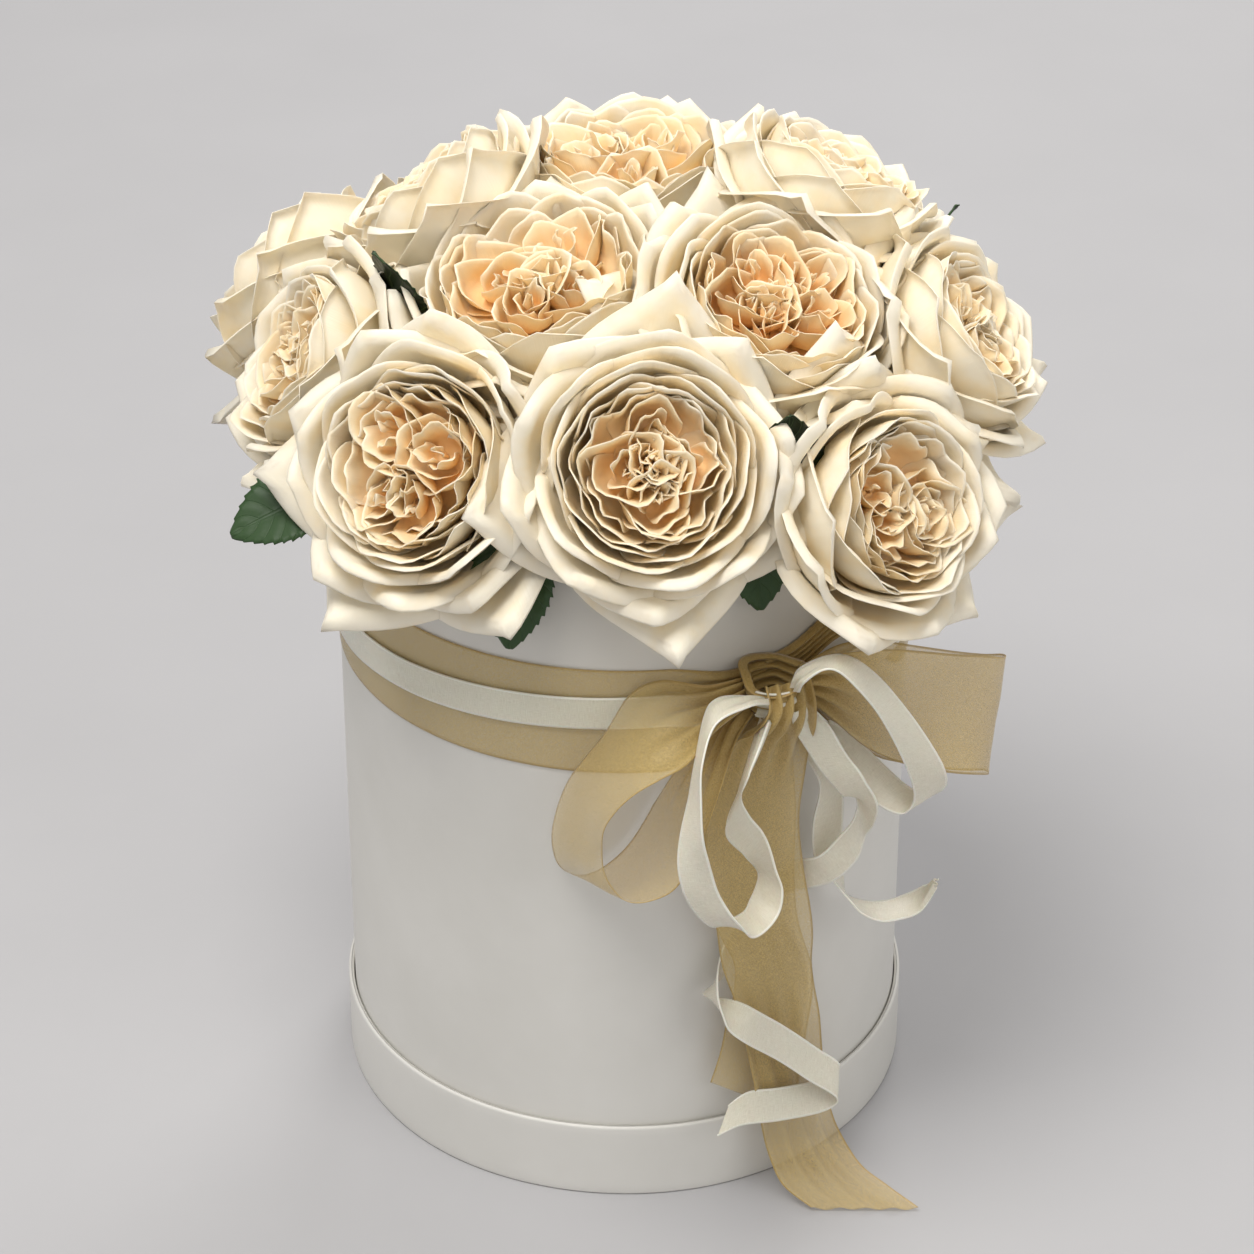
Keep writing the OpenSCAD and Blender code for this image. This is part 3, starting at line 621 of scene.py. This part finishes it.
def leaf_piece(row, rng):
    """A leaf's blade and its stalk down to the foam, as one piece."""
    name, az, inset, rise, seat_az, seat_in, way, lift, roll, long, wide = row
    along = np.linspace(0, 1, 6 * LEAF_TEETH + 1)[:, None]
    across = np.linspace(-1, 1, LEAF_COLUMNS)[None, :]
    half = wide / 2 * np.sin(np.pi * along ** 0.85) ** 0.8
    tooth = (along * LEAF_TEETH) % 1
    at_edge = np.abs(across) > 0.99
    half = half * (1 + LEAF_TOOTH * tooth ** 2 * at_edge) + 0.15
    x = long * along + LEAF_TOOTH_LEAN * tooth * at_edge
    y = half * across
    vein = np.cos(2 * np.pi * SIDE_VEINS * (along - VEIN_SLANT * np.abs(across)))
    z = np.abs(y) * np.tan(LEAF_FOLD) - LEAF_DROOP * along ** 2 - LEAF_CURL * across ** 2 * along
    z = z - LEAF_QUILT * vein * np.sqrt(np.abs(across)) + rng.uniform(-1, 1) * np.sin(2.5 * along) * across
    grid = np.stack([x + 0 * y, y, z], -1)
    skin = normals(grid) * (LEAF_THICK / 2)
    blade, faces = grid_shell(grid + skin, grid - skin)
    c, s = np.cos(np.radians(roll)), np.sin(np.radians(roll))
    blade = blade @ np.array([[1, 0, 0], [0, c, s], [0, -s, c]])
    c, s = np.cos(np.radians(lift)), np.sin(np.radians(lift))
    blade = blade @ np.array([[c, 0, s], [0, 1, 0], [-s, 0, c]])
    c, s = np.cos(np.radians(way - 90)), np.sin(np.radians(way - 90))
    turn = np.array([[c, s, 0], [-s, c, 0], [0, 0, 1]])
    foot = polar(az, BOX_RADIUS - inset, RIM_Z + rise)
    seat = polar(seat_az, BOX_RADIUS - seat_in, FOAM_SEAT_Z)
    blade = blade @ turn + foot
    tip_way = np.array([c * np.cos(np.radians(lift)), s * np.cos(np.radians(lift)), np.sin(np.radians(lift))])
    t = np.linspace(0, 1, STALK_STEPS)[:, None]
    bend = 0.25 * seat + 0.75 * foot + (0, 0, 2)
    stalk_line = (1 - t) ** 2 * seat + 2 * t * (1 - t) * bend + t ** 2 * (foot + 2 * tip_way)
    stalk, stalk_faces = tube(stalk_line, np.linspace(STALK_RADIUS, STALK_TIP_RADIUS, STALK_STEPS))
    count = len(blade)
    faces = faces.tolist() + [[i + count for i in f] for f in stalk_faces]
    uv = np.stack([across + 0 * along, along + 0 * across], -1).reshape(-1, 2)
    under = np.repeat([0.0, 1.0], len(uv))
    rib_uv = np.tile([0.0, 0.5], (len(stalk), 1))
    values = {"under": np.concatenate([under, np.ones(len(stalk))])}
    return cloth_object(f"leaf_{name}_blade", MM * np.concatenate([blade, stalk]), faces,
                        np.concatenate([uv, uv, rib_uv]), values)


leaf_finish, add, wear = new_finish("leaf_wax")
parts = add("SeparateXYZ", {"Vector": add("UVMap", uv_map="cloth").outputs["UV"]}).outputs
aside = reckon(add, "ABSOLUTE", parts["X"])
slant = reckon(add, "MULTIPLY_ADD", aside, -VEIN_SLANT, parts["Y"])
beat = reckon(add, "COSINE", reckon(add, "MULTIPLY", slant, 2 * np.pi * SIDE_VEINS))
veins = reckon(add, "MAXIMUM", ranged(add, beat, 0.93, 1.0), ranged(add, aside, 0.07, 0.03))
blotch = noise(add, add("TexCoord").outputs["Object"], 90.0, 5.0)
veined = blend(add, reckon(add, "MULTIPLY", veins, 0.45), blend(add, blotch, LEAF_DARK, LEAF_GREEN), LEAF_VEIN)
under = add("Attribute", attribute_name="under").outputs["Fac"]
wear(Base_Color=blend(add, under, veined, LEAF_UNDER), Roughness=0.45, Specular_IOR_Level=0.3,
     Normal=emboss(add, reckon(add, "SUBTRACT", blotch, veins), 0.4, 0.0005))

for k, row in enumerate(LEAVES):
    leaf = leaf_piece(row, np.random.default_rng(900 + k))
    leaf.data.materials.append(leaf_finish)
    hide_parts(f"leaf_{row[0]}")
    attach(leaf, "insert")

# ---- Organza ribbon ----
# A 40 mm sheer gold organza ribbon with woven edges goes once round the wall, is gathered into a knot,
# and makes a bow of two loops and two tails.
BOW_TURN = np.radians(27)
KNOT_Z = 211
KNOT_MIDDLE = np.array([-2, 11.6, 0])
COLLAR_RADIUS = 7.6
COLLAR_STEPS = 73
ORGANZA_WIDTH = 40
ORGANZA_THICK = 0.22
ORGANZA_COLUMNS = 33
UV_UNIT = 10  # millimetres of a ribbon in one unit of its UV map
BEAD_SHARE = 0.07  # the cord at a ribbon's edge, as a share of half of its width
BAND_Z = 198
BAND_RADIUS = 100.5
BAND_STEPS = 241
PLEAT_DEPTH = 0.225
GOLD_DEEP = (0.60, 0.42, 0.12, 1)
GOLD_GLINT = (0.93, 0.75, 0.36, 1)
GOLD_EDGE = (0.50, 0.34, 0.12, 1)
GOLD_LAYERED = (0.42, 0.26, 0.07, 1)

# Rows, in the bow's own frame (x along the wall, y out from it, z from the knot's middle, or above the
# table for a tail): the ribbon's middle, the direction across it, and the share of its width that is
# spread; the rest of the width lies in folds
ORGANZA_LOOPS = {
    "loop_left": [
        (-11.5, 11, 1, -1, 8, -4, 0.25), (-27, 15, 1, -6, 18, -6, 0.5), (-40, 15, 0, -7, 33, -11, 0.9),
        (-50, 12, -5, -9, 37, -9, 1), (-58, 8, -16, -11, 39, 0, 1), (-65, 2, -31, -6, 38, 7, 1),
        (-67, -2, -48, 0, 37, 12, 1), (-66, -1, -60, 1, 36, 15, 1), (-61, 3, -66, 0, 37, 13, 1),
        (-54, 8, -64, 0, 37, 11, 1), (-46, 12, -56, -1, 38, 8, 1), (-39, 15, -39, -2, 37, 10, 1),
        (-31, 17, -21, -3, 29, 7, 0.75), (-20, 13, -10, -2, 14, 4, 0.4), (-10.9, 10, -5, 0, 8, 2, 0.2)],
    "loop_right": [
        (7.6, 14, 2, 4, -3, -11, 0.3), (16, 20, 0, 0, 1, -24, 0.6), (26, 24, -5, 0, 3, -36, 0.9),
        (38, 28, -9, -3, 8, -39, 1), (54, 30, -15, -8, 12, -37, 1), (68, 28, -21, -12, 16, -34, 1),
        (78, 23, -27, -14, 16, -34, 1), (80, 18, -29, -15, 16, -34, 1), (74, 15, -29, -15, 16, -34, 1),
        (61, 15, -24, -13, 16, -35, 1), (40, 14, -15, -8, 12, -36, 1), (25, 11, -8, -2, 6, -31, 0.8),
        (10, 8, -2, 3, -5, -15, 0.35)],
}
ORGANZA_TAILS = {
    "tail_front": [
        (-1, 19, 217, 12, 2, 0, 0.4), (-2, 23.3, 211, 13, 0, -1, 0.45), (-4, 22.5, 203, 18, 0, -4, 0.6),
        (-6, 17, 193, 28, -1, -10, 0.8), (-9, 12, 170, 38, -2, -13, 1),
        (-7, 11, 143, 37, -1, -12, 1), (-3, 11, 118, 38, 0, -13, 1), (0, 9, 96, 37, -4, -14, 1),
        (5, 8, 75, 34, -4, -14, 0.95), (9, 8, 48, 32, -5, -15, 0.9), (13, 9, 25, 32, -3, -15, 0.9),
        (16, 17, 11, 31, 7, -7, 0.85), (20, 26, 4.5, 34, 13, -3, 0.95), (25, 38, 1.6, 33, 17, 0, 0.95)],
    "tail_back": [
        (-4, 8, 202.5, 10, 0, 0, 0.25), (-5, 8, 190, 24, 0, -8, 0.65), (-6, 7, 165, 34, 0, -12, 0.9),
        (-6, 7, 140, 36, 0, -12, 0.9), (-3, 6, 115, 36, -2, -13, 0.9), (5, 4, 93, 35, -6, -16, 0.95),
        (6, 3, 81, 35, -7, -17, 1), (4, 3, 68, 36, -6, -16, 1), (0, 5, 52, 34, -3, -20, 1),
        (-4, 6, 39, 32, 0, -24, 1)],
}


def smooth_rows(rows, steps):
    """Rows joined by a smooth curve that passes through each of them."""
    rows = np.array(rows, dtype=float)
    padded = np.concatenate([rows[:1], rows, rows[-1:]])
    u = np.arange(steps)[:, None] / steps
    out = []
    for a, b, c, d in zip(padded[:-3], padded[1:-2], padded[2:-1], padded[3:]):
        out.append(0.5 * (2 * b + (c - a) * u + (2 * a - 5 * b + 4 * c - d) * u ** 2
                          + (3 * (b - c) + d - a) * u ** 3))
    return np.concatenate([*out, rows[-1:]])


def from_bow(v):
    """A direction or place in the bow's frame, x along the wall and y out from it, turned to the part's."""
    c, s = np.cos(BOW_TURN), np.sin(BOW_TURN)
    return np.stack([c * v[..., 0] + s * v[..., 1], s * v[..., 0] - c * v[..., 1], v[..., 2]], -1)


def bow_rows(rows, steps, z_from):
    """A ribbon's fine middle line, its direction across and its spread share, in the part's millimetres."""
    fine = smooth_rows(rows, steps)
    middle = fine[:, :3] + (0, BOX_RADIUS, z_from)
    return from_bow(middle), from_bow(unit(fine[:, 3:6])), np.clip(fine[:, 6], 0.15, 1)


def ribbon(name, middle, across, share, width, thick, columns, folds, wave, rng, bead=0.0, side=0.0):
    """A closed strip of cloth: folds run along it where it is gathered, and small waves everywhere.

    The bead thickens its two edges into cords, and side moves the folds to one face of the strip."""
    w = np.linspace(-1, 1, columns)[None, :]
    run = unit(np.gradient(middle, axis=0))
    skin = unit(np.cross(run, across))
    steps = np.linalg.norm(np.diff(middle, axis=0), axis=1)
    along = np.concatenate([[0], np.cumsum(steps)])
    depth = PLEAT_DEPTH * width / folds * np.sqrt(1 - share ** 2)[:, None]
    pleat = depth * (np.sin(np.pi * folds * w + rng.uniform(0, 6)) + side)
    far = along[:, None] / UV_UNIT
    slow = np.sin(1.9 * w + 0.9 * far + rng.uniform(0, 6))
    slow = slow + 0.6 * np.sin(4.1 * w - 1.7 * far + rng.uniform(0, 6))
    quick_wave = np.sin(9 * w + 2.3 * far + rng.uniform(0, 6)) * np.sin(1.1 * far + rng.uniform(0, 6))
    lift = pleat + wave * (slow + 0.5 * quick_wave)
    grid = (middle[:, None] + across[:, None] * (width / 2 * share[:, None] * w)[..., None]
            + skin[:, None] * lift[..., None])
    half = thick / 2 * (1 + bead * np.exp(-((1 - np.abs(w)) / BEAD_SHARE) ** 2)) + 0 * along[:, None]
    face = normals(grid) * half[..., None]
    points, faces = grid_shell(grid + face, grid - face)
    uv = np.stack([width / (2 * UV_UNIT) * w + 0 * far, far + 0 * w], -1).reshape(-1, 2)
    edge = np.tile((np.abs(w) + 0 * far).ravel(), 2)
    gather = np.tile((1 - share[:, None] + 0 * w).ravel(), 2)
    piece = cloth_object(name, MM * points, faces, np.concatenate([uv, uv]), {"edge": edge, "gather": gather})
    return piece, MM * along[-1]


def organza_strip(name, line, folds, wave, rng, side=0.0):
    """One stretch of the organza, cut to its own length and tied to the box."""
    piece, length = ribbon(f"organza_{name}_cloth", *line, ORGANZA_WIDTH, ORGANZA_THICK, ORGANZA_COLUMNS, folds,
                           wave, rng, side=side)
    piece.data.materials.append(organza)
    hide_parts(f"organza_{name}")
    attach(piece, "box")
    return piece


organza, add, wear = new_finish("organza_weave")
warp = streaks(add, 110.0, 9.0, 5.0, Roughness=0.65, Distortion=0.8)
weft = streaks(add, 9.0, 150.0, 4.0, Roughness=0.6, Distortion=0.5)
weave = reckon(add, "ADD", warp, weft)
glint = ranged(add, weave, 0.85, 1.3)
selvage = ranged(add, add("Attribute", attribute_name="edge").outputs["Fac"], 0.955, 0.975)
gather = add("Attribute", attribute_name="gather").outputs["Fac"]
edged = blend(add, reckon(add, "MULTIPLY", selvage, 0.7), blend(add, glint, GOLD_DEEP, GOLD_GLINT), GOLD_EDGE)
cover = ranged(add, glint, to_low=0.24, to_high=0.50)
layered = reckon(add, "MULTIPLY_ADD", gather, 0.5, cover)
wear(Base_Color=blend(add, reckon(add, "MULTIPLY", gather, 0.8), edged, GOLD_LAYERED),
     Alpha=reckon(add, "MULTIPLY_ADD", selvage, 0.35, layered),
     Roughness=ranged(add, glint, to_low=0.5, to_high=0.3), Normal=emboss(add, weave, 0.3, 0.0003),
     Sheen_Weight=0.4, Sheen_Roughness=0.35)


def round_wall(turn, radius, height):
    """A line once round the wall, from the knot and back to it."""
    az = BOW_TURN + turn
    return np.stack([radius * np.sin(az), -radius * np.cos(az), height], -1)


# The band: level round the wall, gathered to a rope where it comes to the knot
turn = np.linspace(0, 2 * np.pi, BAND_STEPS)
down = np.tile([0.0, 0.0, -1.0], (len(turn), 1))
left_gap, right_gap = np.degrees(2 * np.pi - turn), np.degrees(turn)
spread = 0.28 + 0.72 * np.minimum(ease(left_gap, 3, 19), ease(right_gap, 22, 48))
height = BAND_Z + (KNOT_Z - BAND_Z) * (1 - np.minimum(ease(left_gap, 0, 19), ease(right_gap, 18, 48)))
height = height + 9 * np.exp(-((right_gap - 17) / 9) ** 2)
organza_strip("band", (round_wall(turn, BAND_RADIUS, height), down, spread), 5, 0.04,
              np.random.default_rng(31), side=-1.0)

# The knot: the ribbon wrapped round itself in a short collar that is open at the top
around = np.linspace(0, 2 * np.pi, COLLAR_STEPS)
collar_r = COLLAR_RADIUS + 0.5 * np.sin(3 * around + 1) + 0.4 * np.sin(5 * around)
collar = np.stack([KNOT_MIDDLE[0] + collar_r * np.cos(around),
                   KNOT_MIDDLE[1] + BOX_RADIUS + collar_r * np.sin(around),
                   KNOT_Z - 1 + 1.8 * np.sin(around + 2.6)], -1)
collar_way = np.stack([0.35 * np.cos(around), 0.35 * np.sin(around), 1 + 0 * around], -1)
knot_line = (from_bow(collar), from_bow(unit(collar_way)), 0.40 + 0.05 * np.sin(2 * around))
organza_strip("knot", knot_line, 5, 0.25, np.random.default_rng(32))

for k, (name, rows) in enumerate(ORGANZA_LOOPS.items()):
    organza_strip(name, bow_rows(rows, 8, KNOT_Z), 4, 0.22, np.random.default_rng(33 + k))
for k, (name, rows) in enumerate(ORGANZA_TAILS.items()):
    organza_strip(name, bow_rows(rows, 8, 0), 4, 0.30, np.random.default_rng(36 + k))

# ---- Satin ribbon ----
# A 12 mm ivory satin ribbon with corded, stitched edges lies over the organza: a band that climbs to the
# knot, a short wrap, two narrow loops, and two tails, the longer one curled round the organza tail.
SATIN_WIDTH = 12
SATIN_THICK = 0.3
SATIN_COLUMNS = 13
SATIN_BAND_Z = 195
SATIN_BAND_CLIMB = 8
SATIN_BAND_RADIUS = 101.35
PLEAT_RISE = 3.7
WRAP_RADIUS = 9.9
WRAP_STEPS = 25
SATIN_SHADE = (0.66, 0.61, 0.48, 1)
SATIN_LIGHT = (0.88, 0.84, 0.71, 1)
SATIN_CORD = (0.93, 0.90, 0.80, 1)
THREAD_COLOR = (0.93, 0.90, 0.79, 1)
STITCH_SIZES = {"Pitch": 0.0015, "Thread Radius": 0.00027, "Stretch": 1.7}
SATIN_LOOPS = {
    "loop_left": [
        (-10, 21, 3, 0, 6, 2, 0.5), (-20, 26, 9, -2, 10, 2, 0.9), (-34, 30, 10, -4, 12, 0, 1),
        (-42, 36, -2, -3, 10, 5, 1), (-45, 39, -15, -1, 11, 5, 1), (-47, 41, -28, 3, 11, 4, 1),
        (-46, 42, -41, 8, 9, 2, 1), (-43, 43, -52, 8, 8, 4, 1), (-36, 44, -63, 4, 9, 6, 1),
        (-24, 38, -71, -1, 12, -2, 1), (-16, 34, -69, 4, 11, -2, 1), (-12, 31, -63, 3, 12, 0, 1),
        (-13, 29, -57, 2, 11, 5, 1), (-17, 28, -47, 5, 5, 10, 1), (-23, 28, -38, 6, 4, 9, 1),
        (-26, 31, -28, 2, 5, 10, 1), (-24, 33, -18, 0, 6, 9, 1), (-17, 29, -8, -2, 8, 5, 0.8),
        (-10, 22, -4, 0, 6, 3, 0.5)],
    "loop_right": [
        (-1, 24, 7, -1, 8, 1, 0.5), (-1, 28, 14, -3, 9, 1, 0.9), (4, 33, 20, -6, 10, 2, 1),
        (10, 36, 20, -8, 8, 1, 1), (18, 38, 12, -10, 7, 0, 1), (27, 39, -1, -11, 4, 1, 1),
        (36, 39, -17, -12, 0, 0, 1), (43, 38, -32, -11, -4, -3, 1), (46, 34, -43, -11, -3, -5, 1),
        (43, 30, -48, -10, 2, -3, 1), (37, 26, -45, -10, 2, -4, 1), (29, 22, -36, -9, 1, -6, 1),
        (21, 18, -26, -8, 0, -7, 1), (13, 17, -17, -6, 0, -5, 0.8)],
}
SATIN_TAILS = {
    "tail_long": [
        (3, 21.4, 208, 9, -5, 0, 0.7), (9, 22, 196, 12, 5, 1, 1), (14, 24, 186, 13, 7, 1, 1),
        (21, 27, 174, 6, 9, 8, 1), (27, 25, 163, 6, 4, -10, 1), (28, 20, 152, 6, -2, -10, 1),
        (25, 17, 142, 7, 2, -10, 1), (19, 13.5, 134, 5, 2, -10, 1), (12, 5, 128, 0, 1, -11, 1),
        (7, 3, 124, -2, 0, -11, 1), (-2, 3, 118, -2, 0, -11, 1), (-9, 3, 110, -1, 0, -10, 1),
        (-15, 4, 98, 3, -3, -10, 1), (-22, 9.5, 90, 0, -9, -3, 1), (-13, 17.5, 82, 7, -5, 7, 1),
        (1, 18, 69, 6, -5, 11, 1), (14, 17, 55, 6, -6, 11, 1), (25, 17, 43, 4, -6, 10, 1),
        (19, 14, 37, 0, -4, 9, 1), (3, 14, 39, 2, -4, 10, 1), (-10, 13, 41, 4, -4, 8, 1),
        (-18, 12, 38, 5, -3, 7, 1)],
    "tail_curl": [
        (5.5, 14.2, 205, -3, 8, 0, 0.5), (12, 12, 189, 4, 4, 4, 0.9), (20, 13, 173, 5, 2, 7, 1),
        (22, 9, 152, 8, 3, 5, 1), (23, 8, 139, 8, 0, 3, 1), (27, 9, 124, 7, -6, -5, 1),
        (30, 11, 117, 4, -11, -4, 1), (33, 14, 114, 4, -11, -2, 1), (40, 16, 111, 5, -11, 0, 1),
        (48, 16, 110, 5, -11, 1, 1), (56, 16, 111, 7, -9, 4, 1), (61, 17, 117, 5, -5, 5, 0.3)],
}

thread, add, wear = new_finish("satin_thread")
twist = noise(add, add("TexCoord").outputs["Object"], 700.0, 3.0)
wear(Base_Color=THREAD_COLOR, Roughness=0.4, Normal=emboss(add, twist, 0.3, 0.0001))

# One small bead of thread at every pitch along a line, drawn out along the line
stitching = bpy.data.node_groups.new("edge_stitches", "GeometryNodeTree")
stitching.interface.new_socket("Edge Line", in_out="INPUT", socket_type="NodeSocketGeometry")
for label, size in STITCH_SIZES.items():
    stitching.interface.new_socket(label, in_out="INPUT", socket_type="NodeSocketFloat").default_value = size
stitching.interface.new_socket("Stitches", in_out="OUTPUT", socket_type="NodeSocketGeometry")
add = node_adder(stitching)
given = add("NodeGroupInput").outputs
edge_curve = add("GeometryNodeMeshToCurve", {"Mesh": given["Edge Line"]}).outputs["Curve"]
places = add("GeometryNodeResampleCurve", {"Curve": edge_curve, "Length": given["Pitch"]}, mode="LENGTH")
bead = add("GeometryNodeMeshUVSphere", {"Segments": 6, "Rings": 4, "Radius": given["Thread Radius"]})
tangent = add("GeometryNodeInputTangent").outputs["Tangent"]
along_edge = add("FunctionNodeAlignRotationToVector", {"Vector": tangent}, axis="Z")
shape = add("ShaderNodeCombineXYZ", {"X": 1.0, "Y": 1.0, "Z": given["Stretch"]})
sewn = add("GeometryNodeInstanceOnPoints", {"Points": places.outputs["Curve"], "Instance": bead.outputs["Mesh"],
                                            "Rotation": along_edge.outputs["Rotation"],
                                            "Scale": shape.outputs["Vector"]})
solid = add("GeometryNodeRealizeInstances", {"Geometry": sewn.outputs["Instances"]})
coloured = add("GeometryNodeSetMaterial", {"Geometry": solid.outputs["Geometry"], "Material": thread})
add("NodeGroupOutput", {"Stitches": coloured.outputs["Geometry"]})


def edge_stitches(name, cloth):
    """The thread sewn along both edges of one stretch of satin, as a plain mesh."""
    points = np.empty(3 * len(cloth.data.vertices))
    cloth.data.vertices.foreach_get("co", points)
    middle = points.reshape(2, -1, SATIN_COLUMNS, 3).mean(0)
    rows = len(middle)
    edges = np.concatenate([0.4 * middle[:, 0] + 0.6 * middle[:, 1], 0.4 * middle[:, -1] + 0.6 * middle[:, -2]])
    line = bpy.data.objects.new(f"{name}_line", bpy.data.meshes.new(f"{name}_line"))
    line.data.from_pydata(edges.tolist(), [(k, k + 1) for k in range(2 * rows - 1) if k != rows - 1], [])
    scene.collection.objects.link(line)
    modifier = line.modifiers.new("edge_stitches", "NODES")
    modifier.node_group = stitching
    for socket in stitching.interface.items_tree:
        if socket.name in STITCH_SIZES:
            modifier[socket.identifier] = STITCH_SIZES[socket.name]
    graph = bpy.context.evaluated_depsgraph_get()
    sewn_mesh = bpy.data.meshes.new_from_object(line.evaluated_get(graph), depsgraph=graph)
    piece = bpy.data.objects.new(name, sewn_mesh)
    scene.collection.objects.link(piece)
    piece.data.shade_smooth()
    bpy.data.objects.remove(line)
    return piece


def satin_strip(name, line, rng):
    """One stretch of the satin with its stitched edges, cut to its own length and tied to the box."""
    piece, length = ribbon(f"satin_{name}_cloth", *line, SATIN_WIDTH, SATIN_THICK, SATIN_COLUMNS, 2, 0.05, rng,
                           bead=1.1)
    piece.data.materials.append(satin)
    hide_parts(f"satin_{name}")
    stitches = edge_stitches(f"satin_{name}_stitches", piece)
    for part in (piece, stitches):
        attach(part, "box")
    return piece


satin, add, wear = new_finish("satin_weave")
floats = streaks(add, 90.0, 4.0, 4.0, Roughness=0.6)
ribs = streaks(add, 3.0, 70.0, 3.0)
woven = reckon(add, "ADD", floats, ribs)
luster = ranged(add, woven, 0.7, 1.3)
cord_line = ranged(add, add("Attribute", attribute_name="edge").outputs["Fac"], 0.86, 0.92)
wear(Base_Color=blend(add, cord_line, blend(add, luster, SATIN_SHADE, SATIN_LIGHT), SATIN_CORD),
     Roughness=ranged(add, luster, to_low=0.27, to_high=0.13), Normal=emboss(add, woven, 0.25, 0.0003),
     Sheen_Weight=0.2, Subsurface_Weight=0.1, Subsurface_Scale=0.002)

# The band lies on the organza's, and is lifted by its pleats near the knot
over_pleats = PLEAT_RISE * np.sqrt(1 - spread ** 2) * ease(np.minimum(left_gap, right_gap), 6, 14)
satin_line = round_wall(turn, SATIN_BAND_RADIUS + over_pleats, SATIN_BAND_Z + SATIN_BAND_CLIMB * np.cos(turn))
satin_strip("band", (satin_line, down, np.full(len(turn), 0.999)), np.random.default_rng(41))
wrap = np.radians(np.linspace(30, 150, WRAP_STEPS))
tie = np.stack([KNOT_MIDDLE[0] + WRAP_RADIUS * np.cos(wrap),
                KNOT_MIDDLE[1] + BOX_RADIUS + WRAP_RADIUS * np.sin(wrap), KNOT_Z + 0 * wrap], -1)
wrap_line = (from_bow(tie), from_bow(np.tile([0.0, 0.0, 1.0], (WRAP_STEPS, 1))), np.full(WRAP_STEPS, 0.8))
satin_strip("knot", wrap_line, np.random.default_rng(42))
for k, (name, rows) in enumerate(SATIN_LOOPS.items()):
    satin_strip(name, bow_rows(rows, 10, KNOT_Z), np.random.default_rng(43 + k))
for k, (name, rows) in enumerate(SATIN_TAILS.items()):
    satin_strip(name, bow_rows(rows, 10, 0), np.random.default_rng(46 + k))
